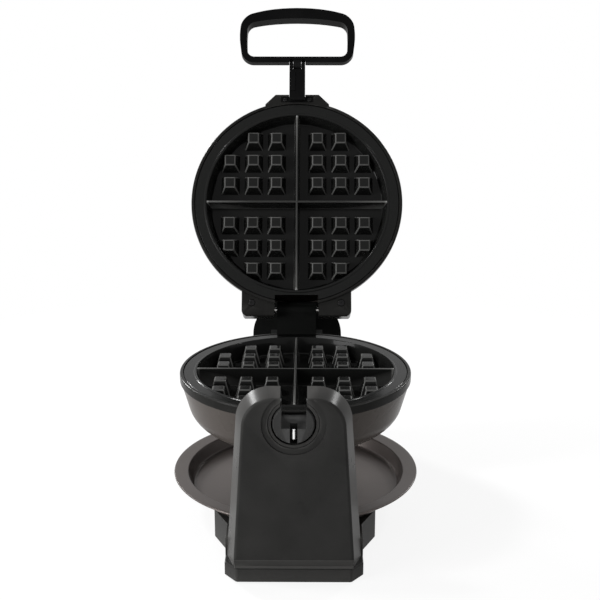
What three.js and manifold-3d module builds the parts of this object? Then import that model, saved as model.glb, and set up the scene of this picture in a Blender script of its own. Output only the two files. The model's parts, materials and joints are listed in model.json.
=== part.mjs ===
// A waffle maker whose head turns between two towers, with its lid open.
// Millimetres, +Z up, +X to the right, -Y towards the handle when the lid is closed.
import * as THREE from 'three';
import { mergeVertices } from 'three/addons/utils/BufferGeometryUtils.js';
import Module from 'manifold-3d';

const wasm = await Module();
wasm.setup();

// Counts and shares
const roundSides = 36;
const shaftSides = 24;
const smallSides = 10;
const screwSides = 8;
const arcSteps = 4;
const curveSteps = 4;
const studRows = 3;
const postCount = 3;
const heaterTurns = 24;
const heaterSteps = 36;
const heaterSides = 6;
const heaterBendShare = 0.25;
const socketShare = 0.25;
const loopCornerShare = 0.25;
const loopTuckShare = 0.125;

// Clearances
const gap = 0.3;
const overrun = 5;

// The turning head, measured from its axis and its parting plane
const axisHeight = 141;
const headRadius = 106;
const faceGap = 0.6;
const bezelSet = 0.1;
const bezelLip = 3.1;
const bezelDepth = 7.7;
const bezelLedge = 4.4;
const bezelRound = 1.2;

// Metal bowls
const shellWall = 1.2;
const shellRimSet = 1.2;
const shellWaistRadius = 98;
const shellWaistDepth = 33;
const shellFloorRadius = 71;
const shellDepth = 52.5;
const shellCrown = 0.8;

// Waffle plates
const wellRadius = 90.8;
const wellDraft = 3.8;
const wellDepth = 16.5;
const plateWall = 3;
const ridgeCrest = 1.6;
const ridgeBase = 6;
const studFirst = 20.75;
const studPitch = 23.5;
const studTop = 10.5;
const studBase = 19.4;
const studDrop = 2.5;

// Posts, heaters and reflectors under the plates
const postRing = 48;
const postRadius = 5;
const postNeckRadius = 3.4;
const postShoulder = 13;
const elementRing = 70;
const elementRadius = 3.2;
const elementMouthDeg = 26;
const elementLeg = 16;
const reflectorRadius = 84;
const reflectorWall = 1;
const reflectorRimRise = 6.5;
const reflectorRimReach = 4;
const thermostatRadius = 8;
const thermostatHeight = 9;
const fuseRadius = 3;
const fuseLength = 24;
const fuseOffset = 24;
const thermostatCapShare = 0.6;

// Screws
const screwRadius = 1.7;
const screwHeadRadius = 3.3;
const screwHeadHeight = 1.4;
const screwLength = 12;
const holeGap = 0.35;

// Lid hinge
const hingeStand = 1;
const hingeRise = 22.5;
const openDeg = 117;
const hingePinRadius = 3;
const hingePinEndGap = 0.8;
const knuckleHalf = 19.5;
const knuckleRadius = 8.5;
const lidNotchHalf = 21.5;
const knuckleRoom = 3.2;
const lidNotchDepth = 28;
const earInner = 22;
const earOuter = 54.2;
const earLap = 1.4;
const earFaceSet = 1.4;
const earRadius = 8;
const earCorner = 6;
const earBevel = 2.2;
const earScrewX = 44.3;
const earScrewSet = 4;

// Rear bracket and pivot shaft
const bracketHalf = 26;
const bracketLap = 4;
const bracketDrop = 36;
const bracketTopSet = 2;
const bracketScrewX = 17;
const bracketScrewDrop = 26;
const shaftRadius = 12;
const shaftBore = 8;
const shaftSeat = 9;
const shaftTail = 6;

// Front collar
const collarRadius = 17.4;
const collarFaceRadius = 16.4;
const collarFaceLength = 2.2;
const neckHalf = 17;
const neckDrop = 31;
const neckTopSet = 0.5;
const pocketHalf = 10.3;
const pocketDrop = 3.6;
const slotHalf = 3.1;
const slotDepth = 12;
const plungerRadius = 2.6;
const plungerLength = 9.6;
const plungerTipGap = 0.7;

// Handle block on the lid's bezel
const blockHalf = 32.5;
const blockNose = 22;
const blockWall = 1.8;
const blockShoulderSet = 3.5;
const blockHeight = 20;
const blockBevel = 4;
const recessHalf = 16.4;
const recessSet = 1.3;
const recessLength = 6.3;
const recessDepth = 8.6;

// Handle shaft and loop
const barHalf = 8;
const barDrop = 3;
const barRise = 9.4;
const forkLength = 8;
const forkTaper = 1.3;
const forkPivot = 145;
const forkRadius = 4.8;
const forkSlotHalf = 4.3;
const forkSlotLength = 6;
const foldPinRadius = 2.1;
const tongueRadius = 4.5;
const loopHalf = 59.6;
const loopStart = 146.3;
const loopEnd = 208.6;
const loopShoulderHalf = 44;
const loopShoulder = 202.4;
const loopSide = 172;
const loopLowCorner = 14;
const loopSideWall = 8.8;
const loopLowWall = 8.8;
const loopTopWall = 12.8;
const loopDrop = 3;
const loopRise = 11;
const loopBevel = 2.5;

// Lamps on the lid
const lensX = 14;
const lensY = 58;
const lensRadius = 4.5;
const lensNeckRadius = 3.4;
const lensHeight = 1.5;
const lensNeck = 6;

// Towers
const towerGap = 1.5;
const frontTowerDepth = 21;
const rearTowerDepth = 30;
const rearTowerFace = 158;
const towerWall = 2.8;
const towerInnerHalf = 48.3;
const towerInnerFoot = 58.4;
const towerInnerTop = 166.5;
const towerInnerCorner = 30;
const towerOuterHalf = 42.3;
const towerOuterFoot = 51.3;
const towerOuterTop = 163;
const towerOuterCorner = 26;
const rearInnerHalf = 46.4;
const rearInnerTop = 161;
const rearInnerCorner = 40;
const rearOuterHalf = 41;
const rearOuterTop = 158;
const rearOuterCorner = 36;
const notchHalf = 10.9;
const linerWall = 3.1;
const linerRunGap = 0.5;
const bearingWall = 3;
const dishRadius = 26.5;
const dishDepth = 0.8;
const coverThick = 2.5;
const coverSet = 0.4;
const coverScrewX = 34;
const coverScrewLow = 44;
const coverScrewHigh = 92;
const coverBossRadius = 4.5;
const bushWall = 2.65;
const bushFlange = 2.5;
const bushFlangeThick = 1.5;
const bushLength = 12;
const retainerWall = 3.4;
const retainerThick = 1.6;
const terminalWidth = 32;
const terminalDepth = 12;
const terminalHeight = 14;
const terminalLow = 62;
const terminalPortRadius = 2.2;
const terminalPorts = 3;
const glandHeight = 38;
const glandFlange = 9;
const glandNeck = 6.2;
const glandBore = 3.5;
const glandFlangeThick = 2.5;
const glandLength = 8;

// Base
const footRadius = 9;
const footStem = 3;
const footRubber = 3.3;
const footX = 42;
const footSet = 24.3;
const plateThick = 2.4;
const skirtGap = 0.9;
const plinthTop = 12.5;
const plinthApron = 3.8;
const plinthNose = 48.2;
const plinthChamfer = 13;
const plinthHalf = 58.8;
const wingHalf = 72.4;
const wingStart = 60;
const wingSlopeLength = 28;
const wingRear = 128;
const deckTop = 27.7;
const baseWall = 3;
const bossRadius = 5;
const bossX = 57;
const bossFrontY = 44;
const bossRearY = 96;
const guideY = 99.9;
const guideThick = 2.2;
const guideRise = 3;
const guideHalf = 56;

// Drip tray
const trayRadius = 114;
const trayTop = 42.8;
const trayFlange = 13.5;
const trayFlangeDrop = 1;
const trayWall = 1.4;
const trayFloorRadius = 95.5;
const trayCornerRise = 1.6;
const trayCornerReach = 2;
const trayLip = 1.2;

// Places that follow from the sizes above
const plateOuter = headRadius - bezelLip - 2 * gap;
const hingeReach = headRadius + hingeStand;
const lidNotchReach = hingeReach - knuckleRadius - knuckleRoom;
const earReach = hingeReach + earRadius + earLap;
const earScrewY = hingeReach - earScrewSet;
const bracketReach = hingeReach + knuckleRadius + bracketLap;
const blockShoulder = headRadius - blockShoulderSet;
const recessBack = headRadius - recessSet;
const recessFront = recessBack + recessLength;
const blockReach = recessFront + blockWall;
const forkStart = forkPivot - forkLength;
const forkSlotStart = forkPivot - forkSlotLength;
const bezelFace = faceGap + bezelSet;
const bezelInner = headRadius - bezelLip;
const bezelEnd = bezelFace + bezelDepth;
const shellRim = bezelEnd + gap;
const shellRimRadius = headRadius - shellRimSet;
const plateFloor = faceGap + wellDepth;
const plateBack = plateFloor + plateWall;
const reflectorFace = plateBack + postShoulder + gap;
const shellInnerFloor = shellDepth - shellWall;
const towerFace = headRadius + 8 + towerGap;
const towerFront = towerFace + frontTowerDepth;
const rearTowerBack = rearTowerFace + rearTowerDepth;
const plinthFront = towerFront + plinthApron;
const rearPlinthReach = rearTowerBack + plinthApron;
const footFrontY = plinthFront - footSet;
const footRearY = rearPlinthReach - footSet;
const towerFoot = plinthTop + gap;
const linerInner = collarRadius + linerRunGap;
const bearingRadius = linerInner + linerWall + gap;
const bushBore = shaftRadius + holeGap;
const bushOuter = bushBore + bushWall;
const bushBossRadius = bushOuter + gap + bearingWall;
const trayFloor = deckTop + gap + trayWall;

// Finishes
function finish(color, roughness, metalness) {
  return new THREE.MeshStandardMaterial({ color, roughness, metalness });
}
const blackPlastic = finish(0x1b1c1d, 0.55, 0);
const greyPlastic = finish(0x3a3c3d, 0.5, 0);
const nonStick = finish(0x1f2020, 0.38, 0.4);
const darkSteel = finish(0x46403c, 0.35, 0.8);
const trayCoat = finish(0x35312e, 0.45, 0.5);
const steel = finish(0xb9bbbd, 0.3, 1);
const rubber = finish(0x141414, 0.9, 0);
const amber = finish(0xc8791e, 0.3, 0);
const green = finish(0x3f8d3a, 0.3, 0);
const ceramic = finish(0xd8d2c4, 0.7, 0);

// Closed meshes to solids and back
function solidOf(geometry) {
  const bare = geometry.clone();
  bare.deleteAttribute('normal');
  bare.deleteAttribute('uv');
  const merged = mergeVertices(bare, 1e-4);
  return new wasm.Manifold(new wasm.Mesh({
    numProp: 3,
    vertProperties: new Float32Array(merged.attributes.position.array),
    triVerts: new Uint32Array(merged.index.array),
  }));
}

function geometryOf(solid) {
  const mesh = solid.getMesh();
  const geometry = new THREE.BufferGeometry();
  geometry.setAttribute('position', new THREE.BufferAttribute(mesh.vertProperties, 3));
  geometry.setIndex(new THREE.BufferAttribute(mesh.triVerts, 1));
  const flat = geometry.toNonIndexed();
  flat.computeVertexNormals();
  return flat;
}

function join(...solids) {
  return solids.reduce((sum, solid) => sum.add(solid));
}

function cut(solid, ...tools) {
  return tools.reduce((rest, tool) => rest.subtract(tool), solid);
}

// A block between two corners
function block(x0, x1, y0, y1, z0, z1) {
  const geometry = new THREE.BoxGeometry(x1 - x0, y1 - y0, z1 - z0);
  geometry.translate((x0 + x1) / 2, (y0 + y1) / 2, (z0 + z1) / 2);
  return solidOf(geometry);
}

// A closed profile of [radius, height] pairs, turned about Z
function turned(profile, sides = roundSides) {
  const points = profile.map(([r, z]) => new THREE.Vector2(r, z));
  if (profile[0][0] > 0) points.push(points[0].clone());
  const signed = profile.reduce((sum, [r, z], i) => {
    const [r2, z2] = profile[(i + 1) % profile.length];
    return sum + r * z2 - r2 * z;
  }, 0);
  if (signed < 0) points.reverse();
  const geometry = new THREE.LatheGeometry(points, sides);
  geometry.rotateX(Math.PI / 2);
  return solidOf(geometry);
}

// A rod or a tube along Z, with its bore open at both ends
function rod(radius, z0, z1, sides = smallSides) {
  return turned([[0, z0], [radius, z0], [radius, z1], [0, z1]], sides);
}

function tube(inner, outer, z0, z1, sides = roundSides) {
  return turned([[inner, z0], [outer, z0], [outer, z1], [inner, z1]], sides);
}

// Turns a solid made along Z so that it lies along Y or X
function alongY(solid) {
  return solid.rotate([-90, 0, 0]);
}

function alongX(solid) {
  return solid.rotate([0, 90, 0]);
}

// An outline drawn in X and Y, raised along Z
function raised(outline, z0, z1) {
  const shape = new THREE.Shape(outline.map(([x, y]) => new THREE.Vector2(x, y)));
  const options = { depth: z1 - z0, bevelEnabled: false, curveSegments: arcSteps };
  const geometry = new THREE.ExtrudeGeometry(shape, options);
  geometry.translate(0, 0, z0);
  return solidOf(geometry);
}

// An outline drawn in Y and Z, widened along X
function widened(outline, x0, x1) {
  return raised(outline, x0, x1).rotate([90, 0, 90]);
}

// Rings of as many points, joined by walls and closed at both ends. Each ring runs
// anticlockwise seen from the last ring's side.
function loft(...rings) {
  const count = rings[0].length;
  const last = (rings.length - 1) * count;
  const index = [];
  for (let level = 0; level < last; level += count) {
    for (let i = 0; i < count; i += 1) {
      const here = level + i;
      const next = level + ((i + 1) % count);
      index.push(here, next, next + count, here, next + count, here + count);
    }
  }
  for (let i = 1; i < count - 1; i += 1) {
    index.push(0, i + 1, i);
    index.push(last, last + i, last + i + 1);
  }
  const geometry = new THREE.BufferGeometry();
  const positions = rings.flat().flatMap((p) => [p.x, p.y, p.z]);
  geometry.setAttribute('position', new THREE.Float32BufferAttribute(positions, 3));
  geometry.setIndex(index);
  return solidOf(geometry);
}

function arcPoints(cx, cy, radius, fromDeg, toDeg, steps = arcSteps) {
  const points = [];
  for (let i = 0; i <= steps; i += 1) {
    const angle = THREE.MathUtils.degToRad(fromDeg + ((toDeg - fromDeg) * i) / steps);
    points.push([cx + radius * Math.cos(angle), cy + radius * Math.sin(angle)]);
  }
  return points;
}

// A screw along Z with its head below z0 and its point above it
function screw(x, y, z0, length = screwLength, capRadius = screwHeadRadius) {
  const profile = [[0, z0], [capRadius, z0], [capRadius, z0 + screwHeadHeight],
    [screwRadius, z0 + screwHeadHeight], [screwRadius, z0 + length], [0, z0 + length + screwRadius / 2]];
  const socket = block(-capRadius / 2, capRadius / 2, -screwRadius * socketShare, screwRadius * socketShare,
    z0 - overrun, z0 + screwHeadHeight / 2);
  const cross = socket.add(socket.rotate([0, 0, 90]));
  return cut(turned(profile, screwSides), cross).translate([x, y, 0]);
}

function screwHole(x, y, z0, z1) {
  return rod(screwRadius + holeGap, z0, z1).translate([x, y, 0]);
}

function screwSeat(x, y, z0, z1, capRadius = screwHeadRadius) {
  return rod(capRadius + holeGap, z0, z1).translate([x, y, 0]);
}

// The scene graph
const model = new THREE.Group();
const head = new THREE.Group();
const lowerHalf = new THREE.Group();
const lidPivot = new THREE.Group();
const lid = new THREE.Group();
head.position.set(0, 0, axisHeight);
lowerHalf.rotation.y = Math.PI;
lidPivot.position.set(0, hingeReach, hingeRise);
lidPivot.rotation.x = -THREE.MathUtils.degToRad(openDeg);
lid.position.set(0, -hingeReach, -hingeRise);
lidPivot.add(lid);
head.add(lowerHalf, lidPivot);
model.add(head);

function place(group, name, solid, material) {
  const mesh = new THREE.Mesh(geometryOf(solid), material);
  mesh.name = name;
  group.add(mesh);
}

// Both halves of the head are drawn with the parting plane at zero and the back upwards.
// The bowl's outer line from the rim to the middle, let in by inset.
function bowlLine(inset) {
  const rim = shellRimRadius - inset;
  const waist = shellWaistRadius - inset;
  const floor = shellDepth - inset;
  const slope = (shellRimRadius - shellWaistRadius) / (shellWaistDepth - shellRim);
  const corner = new THREE.QuadraticBezierCurve(
    new THREE.Vector2(waist, shellWaistDepth),
    new THREE.Vector2(waist - slope * (floor - shellWaistDepth), floor),
    new THREE.Vector2(shellFloorRadius, floor),
  );
  const curve = corner.getPoints(curveSteps).map((p) => [p.x, p.y]);
  return [[rim, shellRim], ...curve, [0, floor + shellCrown]];
}

function bowlSolid() {
  const inner = bowlLine(shellWall).reverse();
  return turned([...bowlLine(0), ...inner]);
}

// Everything that the bezel and the bowl fill, let out by a clearance
function headSpace(clearance) {
  const line = bowlLine(-clearance);
  const ring = [[0, -overrun], [headRadius + clearance, -overrun], [headRadius + clearance, shellRim]];
  return turned([...ring, ...line]);
}

function bowlSpace(clearance) {
  const line = bowlLine(-clearance);
  line[0][1] = bezelEnd;
  return turned([[0, bezelEnd], ...line]);
}

function bezelRing() {
  return turned([
    [bezelInner, bezelFace], [headRadius - bezelRound, bezelFace], [headRadius, bezelFace + bezelRound],
    [headRadius, bezelEnd], [bezelInner - bezelLedge, bezelEnd],
    [bezelInner - bezelLedge, faceGap + plateWall + gap], [bezelInner, faceGap + plateWall + gap],
  ]);
}

function frustum(x, y, baseHalf, topHalf, zBase, zTop) {
  const ring = (half, z) => [[-half, -half], [half, -half], [half, half], [-half, half]]
    .map(([u, v]) => new THREE.Vector3(x + u, y + v, z));
  return loft(ring(topHalf, zTop), ring(baseHalf, zBase));
}

// The two long walls that part the waffle into quarters
function crossRidge() {
  const reach = wellRadius + overrun;
  const wall = widened([
    [-ridgeCrest / 2, faceGap], [ridgeCrest / 2, faceGap],
    [ridgeBase / 2, plateBack], [-ridgeBase / 2, plateBack],
  ], -reach, reach);
  return wall.add(wall.rotate([0, 0, 90]));
}

function studs() {
  const rows = [];
  const middle = studTop / 2;
  const base = studBase / 2;
  for (let i = 0; i < studRows; i += 1) {
    for (let j = 0; j < studRows; j += 1) {
      const x = studFirst + i * studPitch;
      const y = studFirst + j * studPitch;
      const nearest = Math.hypot(x - base, y - base);
      if (nearest < wellRadius - wellDraft - middle) {
        [[x, y], [-x, y], [x, -y], [-x, -y]].forEach(([u, v]) => {
          rows.push(frustum(u, v, base, middle, plateFloor + plateWall / 2, faceGap + studDrop));
        });
      }
    }
  }
  return join(...rows);
}

function posts(bored) {
  const rows = [];
  for (let i = 0; i < postCount; i += 1) {
    const angle = (2 * Math.PI * i) / postCount + Math.PI / 2;
    const x = postRing * Math.cos(angle);
    const y = postRing * Math.sin(angle);
    const profile = [[0, plateBack - plateWall / 2], [postRadius, plateBack - plateWall / 2],
      [postRadius, reflectorFace - gap], [postNeckRadius, reflectorFace - gap],
      [postNeckRadius, shellInnerFloor - gap], [0, shellInnerFloor - gap]];
    let post = turned(profile, smallSides);
    if (bored) post = cut(post, screwHole(0, 0, reflectorFace, shellDepth));
    rows.push(post.translate([x, y, 0]));
  }
  return rows;
}

function gridPlate(bored) {
  const wellFloor = wellRadius - wellDraft;
  const dish = turned([
    [0, plateFloor], [wellFloor, plateFloor], [wellRadius, faceGap], [plateOuter, faceGap],
    [plateOuter, faceGap + plateWall], [wellRadius + plateWall, faceGap + plateWall],
    [wellFloor + plateWall / 2, plateBack], [0, plateBack],
  ]);
  const well = turned([[0, faceGap - overrun], [wellRadius + plateWall / 2, faceGap - overrun],
    [wellRadius + plateWall / 2, faceGap], [wellFloor + plateWall / 2, plateFloor + plateWall / 2],
    [0, plateFloor + plateWall / 2]]);
  const pattern = join(crossRidge(), studs()).intersect(well);
  return join(dish, pattern, ...posts(bored));
}

function heater() {
  const centre = plateBack + gap + elementRadius;
  const mouth = THREE.MathUtils.degToRad(elementMouthDeg);
  const start = -Math.PI / 2 + mouth / 2;
  const sweep = 2 * Math.PI - mouth;
  const spots = [];
  const add = (angle, rise) => spots.push(new THREE.Vector3(
    elementRing * Math.cos(angle),
    elementRing * Math.sin(angle),
    centre + rise,
  ));
  add(start, elementLeg);
  add(start, elementLeg / 2);
  add(start + (sweep / heaterTurns) * heaterBendShare, elementRadius / 2);
  for (let i = 1; i < heaterTurns; i += 1) add(start + (sweep * i) / heaterTurns, 0);
  add(start + sweep - (sweep / heaterTurns) * heaterBendShare, elementRadius / 2);
  add(start + sweep, elementLeg / 2);
  add(start + sweep, elementLeg);
  const path = new THREE.CatmullRomCurve3(spots);
  const section = new THREE.Shape(arcPoints(0, 0, elementRadius, 0, 360 - 360 / heaterSides, heaterSides - 1)
    .map(([x, y]) => new THREE.Vector2(x, y)));
  const options = { steps: heaterSteps, bevelEnabled: false, extrudePath: path };
  return solidOf(new THREE.ExtrudeGeometry(section, options));
}

function reflector() {
  const inner = reflectorFace;
  const outer = reflectorFace + reflectorWall;
  const rim = reflectorRadius + reflectorRimReach;
  const plate = turned([
    [0, inner], [reflectorRadius, inner], [rim, inner - reflectorRimRise],
    [rim + reflectorWall, inner - reflectorRimRise], [reflectorRadius + reflectorWall / 2, outer],
    [0, outer],
  ]);
  const holes = [];
  for (let i = 0; i < postCount; i += 1) {
    const angle = (2 * Math.PI * i) / postCount + Math.PI / 2;
    holes.push(rod(postNeckRadius + gap, 0, shellDepth)
      .translate([postRing * Math.cos(angle), postRing * Math.sin(angle), 0]));
  }
  const mouth = THREE.MathUtils.degToRad(elementMouthDeg / 2);
  [-1, 1].forEach((side) => holes.push(rod(elementRadius + 3 * gap, 0, shellDepth)
    .translate([side * elementRing * Math.sin(mouth), -elementRing * Math.cos(mouth), 0])));
  return cut(plate, ...holes);
}

// The notch that the hinge's knuckle stands in
function lidNotch() {
  return block(-lidNotchHalf, lidNotchHalf, lidNotchReach, earReach + overrun, -overrun, lidNotchDepth);
}

// Lower half
function buildLowerHalf() {
  const drains = [];
  for (let i = 0; i < postCount; i += 1) {
    const angle = (2 * Math.PI * i) / postCount + Math.PI / 2;
    const x = postRing * Math.cos(angle);
    const y = postRing * Math.sin(angle);
    drains.push(screwHole(x, y, reflectorFace, shellDepth + shellCrown + overrun));
    const fastener = screw(0, 0, 0, screwLength).rotate([180, 0, 0])
      .translate([x, y, shellDepth + shellCrown + gap + screwHeadHeight]);
    place(lowerHalf, `shell_screw_${i + 1}`, fastener, steel);
  }
  const vent = screwHole(0, postRing / 2, reflectorFace + overrun, shellDepth + shellCrown + overrun);
  place(lowerHalf, 'lower_shell', cut(bowlSolid(), ...drains, vent), darkSteel);
  place(lowerHalf, 'lower_bezel', bezelRing(), blackPlastic);
  place(lowerHalf, 'lower_grid_plate', gridPlate(true), nonStick);
  place(lowerHalf, 'lower_heating_element', heater(), steel);
  place(lowerHalf, 'lower_heat_reflector', reflector(), steel);
  const body = turned([
    [0, plateBack + gap], [thermostatRadius, plateBack + gap],
    [thermostatRadius, plateBack + gap + thermostatHeight / 2],
    [thermostatRadius * thermostatCapShare, plateBack + gap + thermostatHeight / 2],
    [thermostatRadius * thermostatCapShare, plateBack + gap + thermostatHeight],
    [0, plateBack + gap + thermostatHeight],
  ], smallSides);
  place(lowerHalf, 'thermostat', body, ceramic);
}

// Half collar with its neck, in the head's own frame
function frontCollar() {
  const neck = block(-neckHalf, neckHalf, -towerFace + gap, -shellWaistRadius + overrun,
    -neckDrop, -neckTopSet);
  const room = headSpace(gap).rotate([0, 180, 0]);
  const journal = alongY(rod(collarRadius, -towerFront + collarFaceLength, -towerFace + overrun / 2,
    roundSides));
  const face = alongY(rod(collarFaceRadius, -towerFront + gap, -towerFront + overrun, roundSides));
  const pocket = block(-pocketHalf, pocketHalf, -towerFront - overrun, -headRadius,
    -pocketDrop, collarRadius + overrun);
  const slot = block(-slotHalf, slotHalf, -towerFront - overrun, -towerFront + slotDepth,
    -collarRadius - overrun, -pocketDrop + overrun);
  return cut(join(neck, journal, face), room, pocket, slot);
}

function plunger() {
  const bottom = -collarFaceRadius + plungerTipGap;
  const top = bottom + plungerLength;
  const low = arcPoints(0, bottom + plungerRadius, plungerRadius, -90, 0, curveSteps);
  const high = arcPoints(0, top - plungerRadius, plungerRadius, 0, 90, curveSteps);
  low[0][0] = 0;
  high[high.length - 1][0] = 0;
  return turned([...low, ...high], smallSides).translate([0, -towerFront + slotDepth / 2, 0]);
}

function rearBracket() {
  const room = headSpace(gap).rotate([0, 180, 0]);
  const pad = block(-bracketHalf, bracketHalf, shellWaistRadius - overrun, bracketReach,
    -bracketDrop, -bracketTopSet);
  const column = block(-knuckleHalf, knuckleHalf, headRadius + gap, bracketReach, -bracketDrop, overrun);
  const back = hingeReach + knuckleRadius;
  const side = [
    [hingeReach - knuckleRadius, -gap], [bracketReach, -gap], [bracketReach, overrun], [back, hingeRise],
    ...arcPoints(hingeReach, hingeRise, knuckleRadius, 0, 180, 2 * arcSteps).slice(1),
  ];
  const knuckle = widened(side, -knuckleHalf, knuckleHalf);
  const seat = alongY(rod(shaftRadius + gap, bracketReach - shaftSeat, bracketReach + overrun, roundSides));
  const pinHole = alongX(rod(hingePinRadius + gap, -bracketHalf, bracketHalf))
    .translate([0, hingeReach, hingeRise]);
  const screwHoles = [-1, 1].map((end) => alongY(screwHole(0, 0, shellFloorRadius, bracketReach + overrun))
    .translate([end * bracketScrewX, 0, -bracketScrewDrop]));
  return cut(join(cut(pad, room), column, knuckle), seat, pinHole, ...screwHoles);
}

function buildHeadCore() {
  place(head, 'front_collar', frontCollar(), greyPlastic);
  place(head, 'lock_plunger', plunger(), steel);
  place(head, 'rear_pivot_bracket', rearBracket(), blackPlastic);
  const start = bracketReach - shaftSeat + gap;
  const end = rearTowerFace + bushLength + retainerThick + shaftTail;
  place(head, 'rear_pivot_shaft', alongY(tube(shaftBore, shaftRadius, start, end, shaftSides)), steel);
  const ringStart = rearTowerFace + bushLength + gap;
  const ring = alongY(tube(shaftRadius + gap, shaftRadius + retainerWall,
    ringStart, ringStart + retainerThick, shaftSides));
  place(head, 'shaft_retaining_ring', ring, steel);
  const pinHalf = earOuter - hingePinEndGap;
  const pin = alongX(rod(hingePinRadius, -pinHalf, pinHalf)).translate([0, hingeReach, hingeRise]);
  place(head, 'hinge_pin', pin, steel);
  [-1, 1].forEach((side, i) => {
    const fastener = alongY(screw(0, 0, 0, screwLength).rotate([180, 0, 0])
      .translate([0, 0, bracketReach + gap + screwHeadHeight]));
    const fixed = fastener.translate([side * bracketScrewX, 0, -bracketScrewDrop]);
    place(head, `bracket_screw_${i + 1}`, fixed, steel);
  });
}

// Lid
function ears() {
  const low = bezelFace + earFaceSet;
  const outline = [
    [shellFloorRadius, low], [earReach - earBevel, low], [earReach, low + earBevel],
    [hingeReach + earRadius, hingeRise],
    ...arcPoints(hingeReach, hingeRise, earRadius, 0, 90).slice(1),
    [shellFloorRadius, hingeRise + earRadius],
  ];
  const plan = raised([
    [0, 0], [earOuter, 0], [earOuter, earReach - earCorner],
    ...arcPoints(earOuter - earCorner, earReach - earCorner, earCorner, 0, 90).slice(1), [0, earReach],
  ], -overrun, hingeRise + earRadius + overrun);
  const right = widened(outline, earInner, earOuter).intersect(plan);
  return right.add(right.mirror([1, 0, 0]));
}

function handleBlock() {
  const plan = [
    [-blockHalf, -blockShoulder], [-blockNose, -blockReach], [blockNose, -blockReach],
    [blockHalf, -blockShoulder], [blockHalf, -shellFloorRadius], [-blockHalf, -shellFloorRadius],
  ];
  const high = bezelFace + blockHeight;
  const solid = raised(plan, bezelFace, high);
  const side = widened([
    [-blockReach - overrun, -overrun], [-blockReach - overrun, high - blockBevel],
    [-blockReach, high - blockBevel], [-blockReach + blockBevel, high],
    [-blockReach + blockBevel, high + overrun], [0, high + overrun], [0, -overrun],
  ], -blockHalf - overrun, blockHalf + overrun);
  return solid.intersect(side);
}

function lidBezel() {
  const inside = rod(bezelInner, -overrun, bezelEnd, roundSides);
  const added = cut(join(ears(), handleBlock()), inside, bowlSpace(gap));
  const recess = block(-recessHalf, recessHalf, -recessFront, -recessBack, -overrun, recessDepth);
  const way = block(-barHalf - gap, barHalf + gap, -blockReach - overrun, -headRadius,
    -overrun, barRise + gap);
  const pinHole = alongX(rod(hingePinRadius + gap, -earOuter - overrun, earOuter + overrun))
    .translate([0, hingeReach, hingeRise]);
  const tools = [recess, way, lidNotch(), pinHole];
  [-1, 1].forEach((side) => {
    const x = side * earScrewX;
    const face = bezelFace + earFaceSet;
    tools.push(screwHole(x, earScrewY, -overrun, face + screwLength + screwRadius));
    tools.push(screwSeat(x, earScrewY, -overrun, face + screwHeadHeight + 2 * gap));
    tools.push(screwHole(side * handleScrewX(), handleScrewY(), 0, screwLength + recessDepth / 2));
  });
  return cut(bezelRing().add(added), ...tools);
}

function handleScrewX() {
  return (recessHalf + barHalf) / 2;
}

function handleScrewY() {
  return -(recessFront + recessBack) / 2;
}

function buildLid() {
  place(lid, 'upper_shell', cut(bowlSolid(), lidNotch(), lensHole(-1), lensHole(1)), darkSteel);
  place(lid, 'upper_bezel', lidBezel(), blackPlastic);
  place(lid, 'upper_grid_plate', cut(gridPlate(false), lidNotch()), nonStick);
  place(lid, 'upper_heating_element', heater(), steel);
  place(lid, 'upper_heat_reflector', reflector(), steel);
  const fuse = alongX(rod(fuseRadius, -fuseLength / 2, fuseLength / 2))
    .translate([0, fuseOffset, plateBack + gap + fuseRadius]);
  const clip = block(-fuseRadius, fuseRadius, fuseOffset - 2 * fuseRadius, fuseOffset + 2 * fuseRadius,
    plateBack + gap, plateBack + gap + 2 * fuseRadius + reflectorWall);
  place(lid, 'thermal_fuse', fuse.add(clip), ceramic);
  [-1, 1].forEach((side, i) => {
    const seat = bezelFace + earFaceSet + gap;
    place(lid, `ear_screw_${i + 1}`, screw(side * earScrewX, earScrewY, seat), steel);
    const low = bezelFace + gap;
    place(lid, `handle_screw_${i + 1}`,
      screw(side * handleScrewX(), handleScrewY(), low, screwLength, handleHeadRadius()), steel);
  });
  place(lid, 'power_lens', lens(-1), amber);
  place(lid, 'ready_lens', lens(1), green);
}

function handleHeadRadius() {
  return (recessFront - recessBack) / 2 - 3 * gap;
}

function lensTop() {
  return shellDepth + shellCrown + gap;
}

function lens(side) {
  const top = lensTop();
  return turned([[0, top - lensNeck], [lensNeckRadius, top - lensNeck], [lensNeckRadius, top],
    [lensRadius, top], [lensRadius, top + lensHeight / 2], [lensRadius / 2, top + lensHeight],
    [0, top + lensHeight]], smallSides).translate([side * lensX, -lensY, 0]);
}

function lensHole(side) {
  return rod(lensNeckRadius + gap, shellWaistDepth, shellDepth + shellCrown + overrun)
    .translate([side * lensX, -lensY, 0]);
}

// Handle: a bar with a fork at its end, and a loop that folds on it
const barMiddle = (barRise - barDrop) / 2;

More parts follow.
